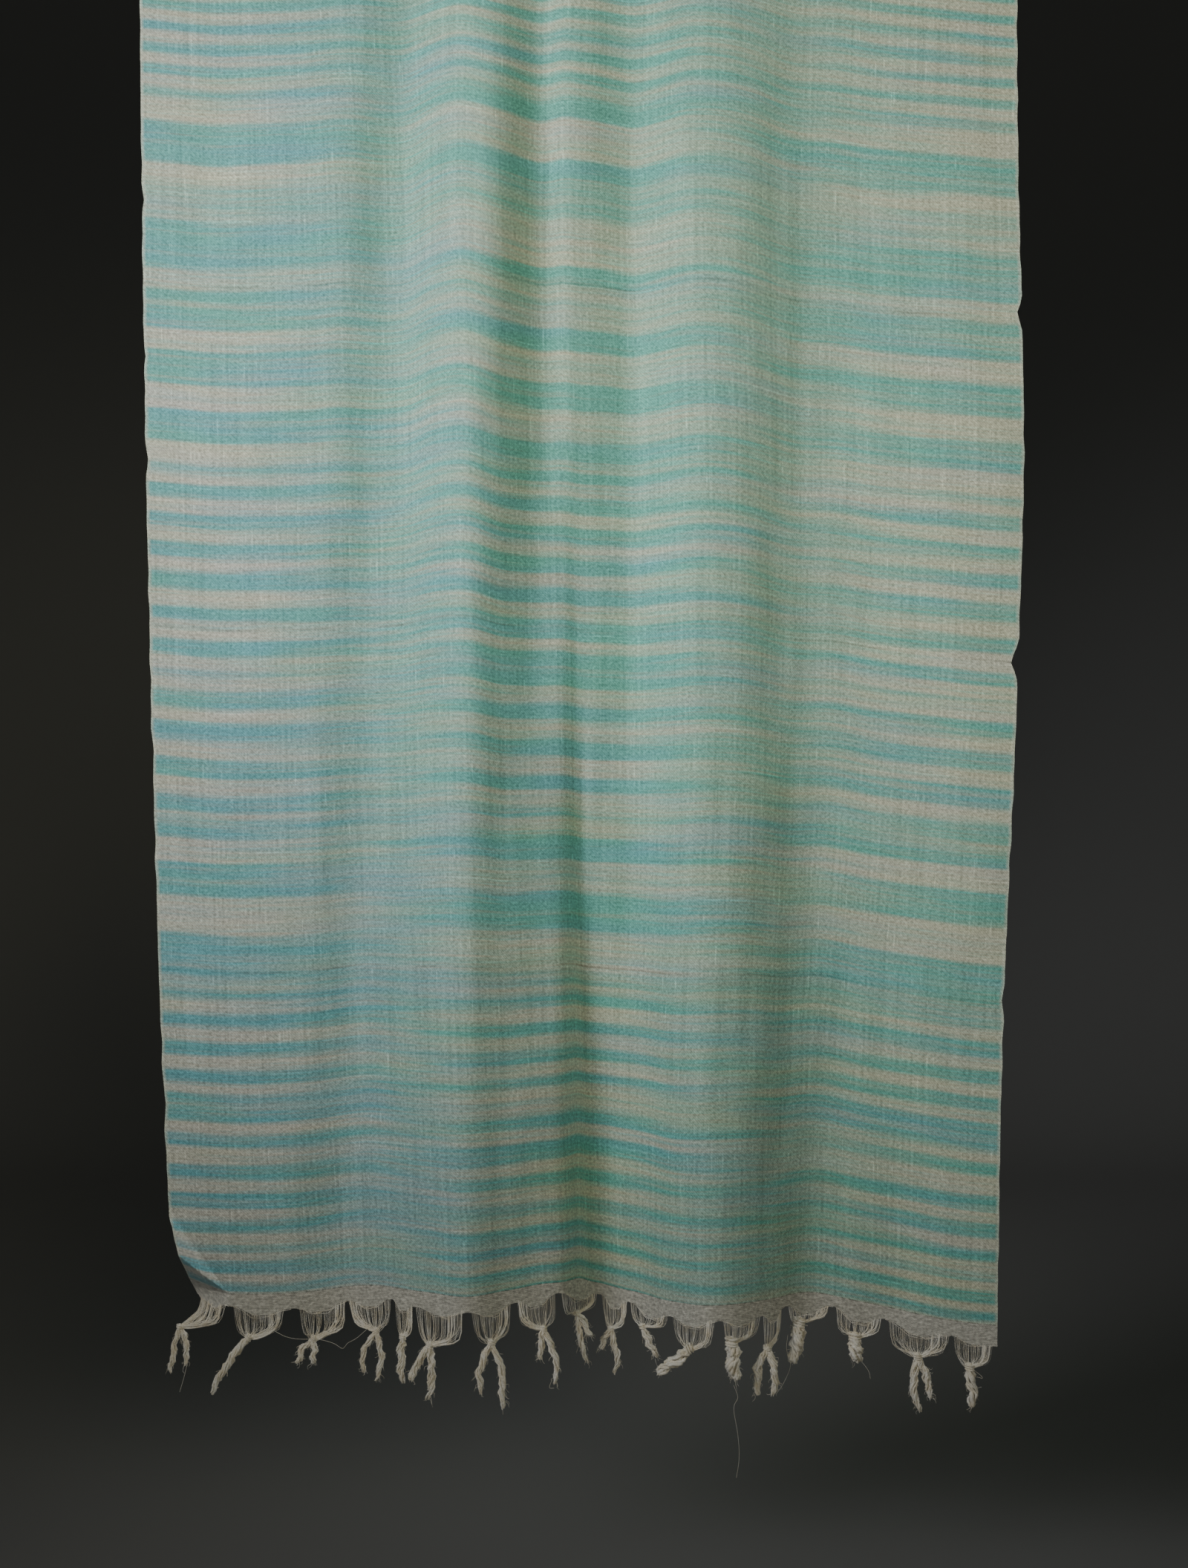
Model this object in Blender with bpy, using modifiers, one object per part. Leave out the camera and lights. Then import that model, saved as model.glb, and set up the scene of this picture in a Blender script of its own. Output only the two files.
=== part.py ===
"""A long striped cashmere scarf hung over a round wooden rod.

The scarf is one woven cloth, 0.70 m wide and 2.08 m long, that hangs over the rod near its middle,
a little lower in front, with a narrow plain-woven band and eighteen knotted tassels at each end.
The origin is on the rod's axis, halfway along it. X runs along the rod, -Y is the side that faces
the viewer and Z is up. All lengths are in metres unless a name or a column says mm.
"""

import functools
import math

import bmesh
import bpy
import numpy as np
from mathutils import Matrix, Quaternion, Vector

MM = 0.001

# Driving sizes
CLOTH_WIDTH = 0.700
CLOTH_LENGTH = 2.080
WALL = 1.2 * MM
SEAM_GAP = 0.3 * MM
BAND_HEIGHT = 16 * MM
BAND_NOTCH = 5 * MM
ROD_RADIUS = 12 * MM
ROD_LENGTH = 0.860
ROD_SIDES = 32
ROD_CHAMFER = 1.5 * MM

# The cloth's middle surface runs round the rod at this radius, clear of its facets
WRAP_RADIUS = ROD_RADIUS + WALL / 2 + 0.55 * MM
WRAP_STEPS = 8
# What hangs below the rod's axis on each side, at the left selvedge
FRONT_HANG = 1.064
BACK_HANG = CLOTH_LENGTH - math.pi * WRAP_RADIUS - FRONT_HANG

# Grid of each wall: columns to a tassel group, rows, and how much closer the rows lie at the hem
FRONT_COLUMNS = 3
BACK_COLUMNS = 2
FRONT_ROWS = 20
BACK_ROWS = 13
ROW_EASE = 1.6

# Heights below the rod's axis at which the tables give the cloth's shape
STATIONS_MM = (0, 210, 412, 636, 882, 1080)

# The selvedges, in mm from the middle, at each station
SELVEDGES_MM = {
    "front": {"left": (-332, -330, -327, -322, -314, -305), "right": (330, 332, 335, 328, 317, 313)},
    "back": {"left": (-332, -330, -324, -318, -312, -306), "right": (330, 328, 322, 314, 306, 300)},
}

# Folds, in mm. Each is a rounded ridge (height above 0) or dip (below 0), seen from outside.
# name: (middle at the rod, middle at the hem, half width left, half width right, height per station)
FRONT_FOLDS_MM = {
    "left_swell": (-172, -222, 130, 46, (5, 8, 8, 7, 5, 3)),
    "left_dip": (-124, -184, 40, 40, (0, -4, -2, -2, -3, -3)),
    "left_ridge": (-80, -82, 56, 64, (11, 29, 28, 17, 6, 4)),
    "left_rise": (-80, -80, 112, 92, (0, 0, 4, 11, 22, 26)),
    "left_crest": (-80, -88, 26, 34, (0, 2, 4, 4, 5, 6)),
    "left_lip": (-58, -52, 26, 30, (2, 6, 4, 0, 0, 0)),
    "middle_pleat": (-6, -10, 25, 50, (9, 7, 3, 0, 0, 0)),
    "middle_step": (44, 40, 50, 40, (0, -6, -6, -5, 0, 0)),
    "middle_valley": (-13, 14, 28, 84, (0, 0, -3, -8, -19, -24)),
    "middle_crease": (-15, 14, 15, 26, (0, 0, 0, -2, -7, -9)),
    "right_ridge": (94, 98, 60, 88, (11, 17, 20, 23, 29, 33)),
    "right_dip": (192, 205, 84, 110, (0, -9, -9, -9, -9, -9)),
    "right_edge": (330, 322, 110, 60, (0, -2, 2, 3, 6, 9)),
}
BACK_FOLDS_MM = {
    "left_outer": (-250, -238, 66, 64, (0, 8, 15, 20, 23, 25)),
    "left_ridge": (-83, -118, 62, 54, (11, 22, 28, 28, 27, 28)),
    "middle_bulge": (-6, 0, 50, 56, (11, 17, 22, 30, 38, 42)),
    "right_ridge": (94, 132, 58, 62, (11, 22, 28, 31, 33, 34)),
    "right_outer": (245, 252, 58, 60, (0, 6, 12, 18, 20, 22)),
}
# The back drifts this far outwards, in mm at each station, to hang clear of the front
BACK_DRIFT_MM = (0, 4, 8, 11, 13, 14)

# The scarf lies a little askew on the rod: how much lower the weft runs in front, and higher behind
SKEW_X_MM = (-332, -223, -185, -140, -71, -45, -16, 4, 60, 110, 155, 195, 229, 268, 300, 330)
SKEW_DROP_MM = (0, -2, -7, -6, -8, -10, -8, -2, 4, 1, 1, 1, 8, 15.5, 20, 22)

# The front's lower left corner is turned back about two creases. They meet at a point that is
# this far from the selvedge and above the end of the weave.
CREASE_POINT_ACROSS = 43 * MM
CREASE_POINT_UP = 16 * MM
# (slope of the crease, up to the left, and how far the cloth below it is turned), in degrees
CORNER_CREASES = ((29, 16), (54, 32))
CREASE_SPREAD = 7

# Tassels of the front end, in mm. Each gathers the loose warp from left to right into a knot,
# whose tails end at the offsets given from the knot (across, down); 0, 0 means no second tail.
# (left, right, knot across from the group's middle, knot below the band, tail a, tail b, thickness)
TASSELS_MM = (
    (-305, -266, -24, 17, (-7, 35), (4, 30), 4.2),
    (-260, -222, -8, 17, (-27, 43), (0, 0), 4.8),
    (-211, -176, -7, 21, (-13, 19), (-1, 19), 4.5),
    (-174, -140, 5, 18, (-10, 32), (0, 38), 4.0),
    (-137, -123, -1, 20, (0, 34), (0, 0), 4.5),
    (-121, -84, -7, 22, (-15, 26), (-2, 40), 5.2),
    (-78, -50, 0, 20, (-8, 38), (7, 49), 5.0),
    (-45, -17, 5, 17, (-3, 23), (8, 41), 4.6),
    (-13, 14, -2, 11, (8, 38), (10, 18), 4.6),
    (17, 37, -3, 17, (-6, 16), (3, 35), 4.4),
    (39, 67, -5, 8, (10, 24), (0, 0), 4.5),
    (70, 100, -4, 17, (-23, 18), (0, 0), 6.5),
    (106, 135, -8, 13, (3, 28), (0, 0), 8.0),
    (137, 152, -4, 21, (-6, 35), (4, 36), 5.5),
    (157, 190, -7, 7, (-4, 31), (0, 0), 8.0),
    (195, 230, -3, 12, (1, 18), (0, 0), 8.0),
    (235, 279, -1, 16, (3, 42), (10, 32), 5.5),
    (282, 310, -3, 17, (2, 30), (0, 0), 6.0),
)
FAN_STRANDS = 4
FAN_RADIUS = 0.7 * MM
HEAD_SIDES = 8
HEAD_RINGS = 5
# A knot is turned a little, so that none of its edges lies in the plane of the strands
HEAD_TILT = math.radians(11)
HEAD_TURN = math.radians(17)

FRONT, BACK = -1, 1


def smooth_at(stations, values, where):
    """The value at a place between stations, on a smooth curve through the table's values."""
    stations, values = np.asarray(stations, float), np.asarray(values, float)
    slopes = np.gradient(values, stations)
    where = np.clip(where, stations[0], stations[-1])
    i = np.clip(np.searchsorted(stations, where, side="right") - 1, 0, len(stations) - 2)
    span = stations[i + 1] - stations[i]
    t = (where - stations[i]) / span
    start = (2 * t**3 - 3 * t**2 + 1) * values[i] + (t**3 - 2 * t**2 + t) * span * slopes[i]
    end = (3 * t**2 - 2 * t**3) * values[i + 1] + (t**3 - t**2) * span * slopes[i + 1]
    return start + end


def ridge(x, middle, left, right):
    """A rounded ridge of height 1 with its own half width on each side."""
    t = np.where(x < middle, (middle - x) / left, (x - middle) / right)
    return np.where(t < 1, np.cos(np.clip(t, 0, 1) * math.pi / 2) ** 2, 0.0)


def outward(side, x_mm, depth_mm):
    """How far, in mm, the cloth stands out from the rod's side, at a place across and down."""
    folds = FRONT_FOLDS_MM if side == FRONT else BACK_FOLDS_MM
    share = depth_mm / STATIONS_MM[-1]
    total = np.zeros_like(x_mm)
    if side == BACK:
        total = total + smooth_at(STATIONS_MM, BACK_DRIFT_MM, depth_mm)
    for at_rod, at_hem, left, right, heights in folds.values():
        middle = at_rod + (at_hem - at_rod) * share
        total = total + smooth_at(STATIONS_MM, heights, depth_mm) * ridge(x_mm, middle, left, right)
    return total


def across_at(side, shares, depth):
    """X of each warp thread at a depth below the rod, so that equal shares are equal lengths of cloth."""
    edges = SELVEDGES_MM["front" if side == FRONT else "back"]
    left = smooth_at(STATIONS_MM, edges["left"], depth / MM)
    right = smooth_at(STATIONS_MM, edges["right"], depth / MM)
    x = np.linspace(left, right, 400)
    y = outward(side, x, depth / MM)
    length = np.concatenate([[0], np.cumsum(np.hypot(np.diff(x), np.diff(y)))])
    return np.interp(np.asarray(shares) * length[-1], length, x) * MM


def skew_drop(x):
    return smooth_at(SKEW_X_MM, SKEW_DROP_MM, x / MM) * MM


def hang_at(side, x):
    """Length of cloth below the rod's axis, down to the end of the weave."""
    return FRONT_HANG + skew_drop(x) if side == FRONT else BACK_HANG - skew_drop(x)


def corner_turned(share, up, point):
    """A point of the front, moved to where the turned lower left corner takes it."""
    flat = Vector((share * CLOTH_WIDTH - CREASE_POINT_ACROSS, 0, up - CREASE_POINT_UP))
    slope = math.degrees(math.atan2(flat.z, -flat.x))
    if flat.x >= 0 or slope >= CORNER_CREASES[-1][0]:
        return point
    corner_slope = math.degrees(math.atan2(-CREASE_POINT_UP, CREASE_POINT_ACROSS))
    fade = min(1.0, (slope + 90) / (corner_slope + 90))
    turned = flat.copy()
    for crease, turn in CORNER_CREASES:
        past = min(max((crease - slope) / CREASE_SPREAD, 0.0), 1.0)
        axis = Vector((-math.cos(math.radians(crease)), 0, math.sin(math.radians(crease))))
        turned = Quaternion(axis, -math.radians(turn) * fade * past) @ turned
    return point + turned - flat


def wall_point(side, share, up):
    """A point of the cloth at a share of its width and a height above the end of the weave."""
    x_rod = across_at(side, [share], 0.0)[0]
    hang = hang_at(side, x_rod)
    depth = hang - up
    x = across_at(side, [share], depth)[0]
    y = WRAP_RADIUS + outward(side, np.array([x / MM]), depth / MM)[0] * MM
    point = Vector((x, side * y, -depth))
    return corner_turned(share, up, point) if side == FRONT else point


def share_of(side, x_mm):
    """The share of the cloth's width that hangs at a place along the end."""
    shares = np.linspace(0, 1, 400)
    hang = FRONT_HANG if side == FRONT else BACK_HANG
    return float(np.interp(x_mm * MM, across_at(side, shares, hang), shares))


def new_object(name, mesh, material, collection):
    obj = bpy.data.objects.new(name, mesh)
    collection.objects.link(obj)
    obj.data.materials.append(material)
    return obj


def move_to(obj, collection):
    for holder in list(obj.users_collection):
        holder.objects.unlink(obj)
    collection.objects.link(obj)


def make_material(name, colour, roughness, metallic=0.0):
    material = bpy.data.materials.new(name)
    material.use_nodes = True
    shader = material.node_tree.nodes["Principled BSDF"]
    shader.inputs["Base Color"].default_value = (*colour, 1.0)
    shader.inputs["Roughness"].default_value = roughness
    shader.inputs["Metallic"].default_value = metallic
    return material


def make_wall(name, point_at, columns, rows, material, collection):
    """An open grid, moved to point_at(column share, row share), with a wall's thickness."""
    bpy.ops.mesh.primitive_grid_add(x_subdivisions=columns, y_subdivisions=rows, size=1)
    wall = bpy.context.object
    wall.name = name
    move_to(wall, collection)
    wall.data.materials.append(material)
    for vertex in wall.data.vertices:
        vertex.co = point_at(vertex.co.x + 0.5, vertex.co.y + 0.5)
    wall.data.shade_smooth()
    solidify = wall.modifiers.new("wall", "SOLIDIFY")
    solidify.thickness = WALL
    solidify.offset = 0
    return wall


@functools.cache
def group_shares(side):
    """Shares of the width at which one tassel group ends and the next begins."""
    rows = TASSELS_MM
    edges = [(a[1] + b[0]) / 2 for a, b in zip(rows, rows[1:])]
    if side == BACK:
        edges = [-x for x in reversed(edges)]
    return [0.0] + [share_of(side, x) for x in edges] + [1.0]


def share_at(side, groups):
    """The share of the width at a number of tassel groups from the left."""
    edges = group_shares(side)
    return float(np.interp(groups, range(len(edges)), edges))


def groups_at(side, share):
    """The number of tassel groups from the left at a share of the width."""
    edges = group_shares(side)
    return float(np.interp(share, edges, range(len(edges))))


def band_edge(side, groups):
    """Height of the band's lower edge above the end of the weave: it rises between two groups."""
    nearest = round(groups)
    if nearest in (0, len(TASSELS_MM)):
        return 0.0
    columns = FRONT_COLUMNS if side == FRONT else BACK_COLUMNS
    return BAND_NOTCH * max(0.0, 1.0 - abs(groups - nearest) * columns)


def make_cloth(side, name, columns, rows, material, collection):
    """One hanging stretch of twill, from just below the rod's axis to the band."""

    def point_at(column, row):
        share = share_at(side, column * len(TASSELS_MM))
        x_rod = across_at(side, [share], 0.0)[0]
        top = hang_at(side, x_rod) - SEAM_GAP
        bottom = BAND_HEIGHT + SEAM_GAP
        return wall_point(side, share, bottom + (top - bottom) * row**ROW_EASE)

    return make_wall(name, point_at, columns, rows, material, collection)


def make_band(side, name, columns, material, collection):
    """The plain-woven strip at an end, notched between the tassel groups."""

    def point_at(column, row):
        groups = column * len(TASSELS_MM)
        bottom = band_edge(side, groups)
        return wall_point(side, share_at(side, groups), bottom + (BAND_HEIGHT - bottom) * row)

    return make_wall(name, point_at, columns, 1, material, collection)


def make_saddle(name, columns, material, collection):
    """The stretch that lies over the rod, with the gathers that run on into both sides."""

    def point_at(column, row):
        share = share_at(FRONT, column * len(TASSELS_MM))
        place = []
        for side in (FRONT, BACK):
            x = across_at(side, [share], 0.0)[0]
            place.append((x, WRAP_RADIUS + outward(side, np.array([x / MM]), 0.0)[0] * MM))
        x, radius = (a + (b - a) * row for a, b in zip(*place))
        turn = math.pi * row
        return Vector((x, -radius * math.cos(turn), radius * math.sin(turn)))

    return make_wall(name, point_at, columns, WRAP_STEPS, material, collection)


def tube_mesh(points, radii):
    """A four-sided strand along the points, closed at both ends, as a mesh."""
    curve = bpy.data.curves.new("strand", "CURVE")
    curve.dimensions = "3D"
    curve.bevel_depth = 1.0
    curve.bevel_resolution = 0
    curve.use_fill_caps = True
    spline = curve.splines.new("POLY")
    spline.points.add(len(points) - 1)
    for place, point, radius in zip(spline.points, points, radii):
        place.co = (*point, 1.0)
        place.radius = radius
    holder = bpy.data.objects.new("strand", curve)
    bpy.context.scene.collection.objects.link(holder)
    bpy.context.view_layer.update()
    mesh = bpy.data.meshes.new_from_object(holder.evaluated_get(bpy.context.evaluated_depsgraph_get()))
    bpy.data.objects.remove(holder)
    shape = bmesh.new()
    shape.from_mesh(mesh)
    bmesh.ops.remove_doubles(shape, verts=shape.verts, dist=0.00001)
    bmesh.ops.recalc_face_normals(shape, faces=shape.faces)
    shape.to_mesh(mesh)
    shape.free()
    return mesh


def bowed(start, end, bow, steps):
    """Points from start to end that bow sideways by a length, most at the middle."""
    across = Vector((end - start).cross(Vector((0, 1, 0)))).normalized()
    points = []
    for i in range(steps + 1):
        t = i / steps
        points.append(start.lerp(end, t) + across * bow * math.sin(math.pi * t))
    return points


def make_tassel(side, name, row, material, collection, cutters):
    """A knot with the loose warp that fans up to the band and one or two tails below."""
    left, right, knot_across, knot_drop, tail_a, tail_b, thickness = row
    if side == BACK:
        left, right, knot_across = -right, -left, -knot_across
        tail_a, tail_b = (-tail_a[0], tail_a[1]), (-tail_b[0], tail_b[1])
    middle_share = share_of(side, (left + right) / 2)
    end = wall_point(side, middle_share, 0.0)
    knot = end + Vector((knot_across, 0, -knot_drop)) * MM
    head_radius = (0.45 * thickness + 0.7) * MM

    strands = []
    for i in range(FAN_STRANDS):
        t = (i + 0.5) / FAN_STRANDS
        share = share_of(side, left + (right - left) * t)
        edge = band_edge(side, groups_at(side, share))
        root = wall_point(side, share, edge)
        down = (root - wall_point(side, share, edge + 1 * MM)).normalized()
        tip = root + down * (FAN_RADIUS + SEAM_GAP)
        start = knot + (tip - knot).normalized() * head_radius * (0.15 + 0.13 * i)
        strands.append(([start, tip], [FAN_RADIUS, FAN_RADIUS]))
    for k, (across, down) in enumerate((tail_a, tail_b)):
        if down == 0:
            continue
        tip = knot + Vector((across, (1.5 * k - 0.7) * thickness / 4, -down)) * MM
        start = knot + (tip - knot).normalized() * head_radius * (0.2 + 0.17 * k)
        half = 0.5 * thickness * MM * (0.85 if tail_b[1] else 1.1)
        bow = (0.10 if k else -0.10) * down * MM
        strands.append((bowed(start, tip, bow, 4), [half * s for s in (0.75, 1.0, 1.0, 0.9, 0.5)]))

    shape = bmesh.new()
    leaning = Matrix.Rotation(HEAD_TILT, 4, "X") @ Matrix.Rotation(HEAD_TURN, 4, "Z")
    placed = Matrix.Translation(knot) @ leaning
    bmesh.ops.create_uvsphere(
        shape, u_segments=HEAD_SIDES, v_segments=HEAD_RINGS, radius=head_radius, matrix=placed
    )
    mesh = bpy.data.meshes.new(name)
    shape.to_mesh(mesh)
    shape.free()
    tassel = new_object(name, mesh, material, collection)
    for points, radii in strands:
        cutter = bpy.data.objects.new(name + "_strand", tube_mesh(points, radii))
        cutter.hide_render = True
        cutter.display_type = "WIRE"
        cutters.objects.link(cutter)
        join = tassel.modifiers.new("fuse", "BOOLEAN")
        join.operation = "UNION"
        join.object = cutter
    return tassel


def make_rod(name, material, collection):
    """A turned hardwood rod along X, chamfered at both ends."""
    bpy.ops.mesh.primitive_cylinder_add(
        vertices=ROD_SIDES, radius=ROD_RADIUS, depth=ROD_LENGTH, rotation=(0, math.pi / 2, 0)
    )
    rod = bpy.context.object
    rod.name = name
    move_to(rod, collection)
    rod.data.materials.append(material)
    bevel = rod.modifiers.new("end_chamfer", "BEVEL")
    bevel.width = ROD_CHAMFER
    bevel.segments = 1
    bevel.limit_method = "ANGLE"
    bevel.angle_limit = math.radians(60)
    rod.data.shade_smooth()
    return rod


def main():
    for obj in list(bpy.data.objects):
        bpy.data.objects.remove(obj)
    scarf = bpy.data.collections.new("cashmere_scarf")
    cutters = bpy.data.collections.new("strands_to_fuse")
    for collection in (scarf, cutters):
        bpy.context.scene.collection.children.link(collection)

    twill = make_material("striped_cashmere_twill", (0.36, 0.56, 0.53), 0.9)
    plain = make_material("plain_woven_band", (0.56, 0.53, 0.47), 0.9)
    yarn = make_material("fringe_yarn", (0.62, 0.58, 0.49), 0.9)
    wood = make_material("varnished_hardwood", (0.13, 0.035, 0.012), 0.25)

    make_rod("rod", wood, scarf)
    groups = len(TASSELS_MM)
    make_saddle("cloth_over_rod", groups * BACK_COLUMNS, twill, scarf)
    make_cloth(FRONT, "cloth_front", groups * FRONT_COLUMNS, FRONT_ROWS, twill, scarf)
    make_cloth(BACK, "cloth_back", groups * BACK_COLUMNS, BACK_ROWS, twill, scarf)
    make_band(FRONT, "band_front", groups * FRONT_COLUMNS, plain, scarf)
    make_band(BACK, "band_back", groups * BACK_COLUMNS, plain, scarf)
    for side, word in ((FRONT, "front"), (BACK, "back")):
        for i, row in enumerate(TASSELS_MM):
            make_tassel(side, f"tassel_{word}_{i + 1:02d}", row, yarn, scarf, cutters)


main()
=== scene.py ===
# %% [markdown]
# # A long striped scarf of cashmere twill, hung over a wooden rod
# The scarf is one woven cloth with a knotted fringe at both ends. This lesson starts from the plain
# solids of the scarf, keeps their form within a few millimetres, and puts the real cloth on them: a
# thin sheet with soft folds, a weave of cream and turquoise yarn, and thirty-six small tassels of
# loose warp. The solids come first, because everything that follows is placed by them.

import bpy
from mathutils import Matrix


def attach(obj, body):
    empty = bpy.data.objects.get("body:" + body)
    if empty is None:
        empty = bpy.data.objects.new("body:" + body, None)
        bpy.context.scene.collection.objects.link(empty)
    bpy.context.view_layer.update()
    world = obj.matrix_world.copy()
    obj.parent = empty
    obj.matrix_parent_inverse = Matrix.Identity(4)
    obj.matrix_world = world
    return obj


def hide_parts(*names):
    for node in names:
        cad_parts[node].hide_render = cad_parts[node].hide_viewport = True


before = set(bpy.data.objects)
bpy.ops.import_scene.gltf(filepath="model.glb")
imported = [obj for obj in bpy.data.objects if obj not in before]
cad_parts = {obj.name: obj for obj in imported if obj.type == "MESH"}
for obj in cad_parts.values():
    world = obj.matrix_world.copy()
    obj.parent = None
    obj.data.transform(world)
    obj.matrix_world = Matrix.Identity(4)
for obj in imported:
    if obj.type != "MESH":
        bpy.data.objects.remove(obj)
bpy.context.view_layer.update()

# %% [markdown]
# ## Tools for every step
# A colour is written as a dyer would note it, as an sRGB hex code, but a shader wants it linear, so
# one function turns it. One more function adds a node to a material: its options are written as
# keywords and its inputs as a small dictionary, in which another node's output may stand as well as
# a number. That keeps each material readable from its coordinates down to its shader.

# %% Colour and node helpers
import functools
import math
import random

import bmesh
import bpy
import numpy as np
from mathutils import Quaternion, Vector, noise

MM = 0.001


def linear(hex_code):
    """The linear colour, with alpha 1, of an sRGB hex code."""
    channels = [int(hex_code[i : i + 2], 16) / 255 for i in (1, 3, 5)]
    return (*[c / 12.92 if c <= 0.04045 else ((c + 0.055) / 1.055) ** 2.4 for c in channels], 1.0)


def add_node(tree, kind, inputs=None, out=0, **settings):
    """Adds a node with its settings and links, and gives back the output asked for (None: the node)."""
    node = tree.nodes.new(kind)
    for name, value in settings.items():
        setattr(node, name, value)
    for socket, value in (inputs or {}).items():
        if isinstance(value, bpy.types.NodeSocket):
            tree.links.new(value, node.inputs[socket])
        else:
            node.inputs[socket].default_value = value
    return node if out is None else node.outputs[out]


def new_material(name):
    """A node material without any nodes yet."""
    material = bpy.data.materials.new(name)
    material.use_nodes = True
    material.node_tree.nodes.clear()
    return material


print("cream yarn in linear light", [round(c, 3) for c in linear("#cacdb5")])

# %% [markdown]
# ## The camera
# The scarf hangs just over a metre below its rod, and the picture shows it from straight in front,
# a little above its middle, with the rod itself above the frame. A lens of 35 mm at 1.16 m gives
# that view. The camera stays level so that the selvedges don't lean together, and the shift lens
# lifts the frame instead.

# %% Camera
FRAME_HEIGHT_PX = 2112
FRAME_LIFT_PX = 174

camera = bpy.data.objects.new("camera", bpy.data.cameras.new("camera"))
bpy.context.scene.collection.objects.link(camera)
bpy.context.scene.camera = camera
camera.data.lens = 35
camera.data.sensor_width = 36
camera.data.shift_y = FRAME_LIFT_PX / FRAME_HEIGHT_PX
camera.location = (0.0112, -1.1637, -0.7616)
camera.rotation_euler = (math.radians(90), 0, 0)
print("camera at", tuple(round(c, 3) for c in camera.location))

# %% [markdown]
# ## Floor
# A plain floor that sweeps up into a backdrop keeps the eye on the cloth. It is one grid, whose
# rows are bent up along a quarter circle behind the scarf.

# %% Floor
FLOOR_LEVEL = -1.34
FLOOR_FRONT, FLOOR_LENGTH, FLOOR_HALF_WIDTH = -6.0, 13.4, 9.0
SWEEP_START = 2.20
SWEEP_RADIUS = 0.9

shape = bmesh.new()
bmesh.ops.create_grid(shape, x_segments=1, y_segments=80, size=1.0)
for vertex in shape.verts:
    along = (vertex.co.y + 1) / 2 * FLOOR_LENGTH + FLOOR_FRONT
    past = max(along - SWEEP_START, 0)
    turn = min(past / SWEEP_RADIUS, math.pi / 2)
    rise = max(past - SWEEP_RADIUS * math.pi / 2, 0)
    vertex.co.x *= FLOOR_HALF_WIDTH
    vertex.co.y = min(along, SWEEP_START) + SWEEP_RADIUS * math.sin(turn)
    vertex.co.z = FLOOR_LEVEL + SWEEP_RADIUS * (1 - math.cos(turn)) + rise
floor_mesh = bpy.data.meshes.new("floor")
shape.to_mesh(floor_mesh)
shape.free()
floor_mesh.shade_smooth()
floor = bpy.data.objects.new("floor", floor_mesh)
bpy.context.scene.collection.objects.link(floor)
paint = new_material("pale_matt_floor_paint")
matt = add_node(
    paint.node_tree, "ShaderNodeBsdfPrincipled", {"Base Color": linear("#8c8c8c"), "Roughness": 0.9}
)
add_node(paint.node_tree, "ShaderNodeOutputMaterial", {"Surface": matt}, out=None)
floor_mesh.materials.append(paint)
print("floor at", FLOOR_LEVEL)

# %% [markdown]
# ## Light
# The light comes from a large soft box on the left, as from a window, so each fold has a bright left
# flank and a shaded right one. Its light is narrowed to 50 degrees and aimed above the middle,
# because the real scarf is evenly lit down to half its height and then falls off to half the light
# at the hem. A second box behind the camera fills the shaded flanks with a little warmer light, and
# the surroundings add some to every side. A third box stands behind the scarf, out of the picture,
# so that the hidden half can be looked at too.

# %% Lights
# name: (place, point it is aimed at, size, how wide it spreads in degrees, watts, colour)
SOFT_BOXES = {
    "window_side": ((-1.25, -1.15, 0.10), (-0.06, 0.0, -0.33), 0.9, 50, 3.2, "#ffffff"),
    "room_side": ((0.75, -2.0, 0.15), (-0.11, 0.0, -0.33), 1.2, 44, 1.68, "#fdf8dc"),
    "back_side": ((1.6, 1.6, 0.15), (0.0, 0.1, -0.31), 0.8, 43, 3.6, "#ffffff"),
}
for name, (place, aim, size, spread, watts, colour) in SOFT_BOXES.items():
    box = bpy.data.objects.new(name, bpy.data.lights.new(name, "AREA"))
    bpy.context.scene.collection.objects.link(box)
    box.data.size = size
    box.data.spread = math.radians(spread)
    box.data.energy = watts
    box.data.color = linear(colour)[:3]
    box.location = place
    box.rotation_euler = (Vector(aim) - Vector(place)).to_track_quat("-Z", "Y").to_euler()

world = bpy.data.worlds.new("soft_surroundings")
bpy.context.scene.world = world
world.use_nodes = True
world.node_tree.nodes.clear()
glow = add_node(
    world.node_tree, "ShaderNodeBackground", {"Color": linear("#f2f2e8"), "Strength": 0.062}
)
add_node(world.node_tree, "ShaderNodeOutputWorld", {"Surface": glow}, out=None)
print("soft boxes", list(SOFT_BOXES))

# %% [markdown]
# ## The size of the cloth
# The cloth was cut 0.70 m wide and 2.08 m long. It hangs 1.064 m in front of the rod, measured at
# its left selvedge, and the rest lies over the rod and behind it. Heights are measured as a weaver
# would, along the cloth from the end of the weave, and depths downwards from the rod's axis.

# %% Sizes
CLOTH_WIDTH = 0.700
CLOTH_LENGTH = 2.080
CLOTH_THICKNESS = 0.6 * MM
BAND_HEIGHT = 16 * MM
WRAP_RADIUS = 13.15 * MM
FRONT_HANG = 1.064
BACK_HANG = CLOTH_LENGTH - math.pi * WRAP_RADIUS - FRONT_HANG
FRONT, BACK = -1, 1
print("hangs", FRONT_HANG, "in front and", round(BACK_HANG, 4), "behind")

# %% [markdown]
# ## The folds
# A scarf that hangs from a rod falls into long soft folds that keep their place from the rod to the
# hem and only swell or sink on the way. So each fold is a rounded ridge or dip with a middle, a
# width on either side, and a height at six depths. The scarf also lies a little askew, so its weft
# runs lower at the right in front and higher at the same place behind. Both tables are the ones
# that the solids were built from.

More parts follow.
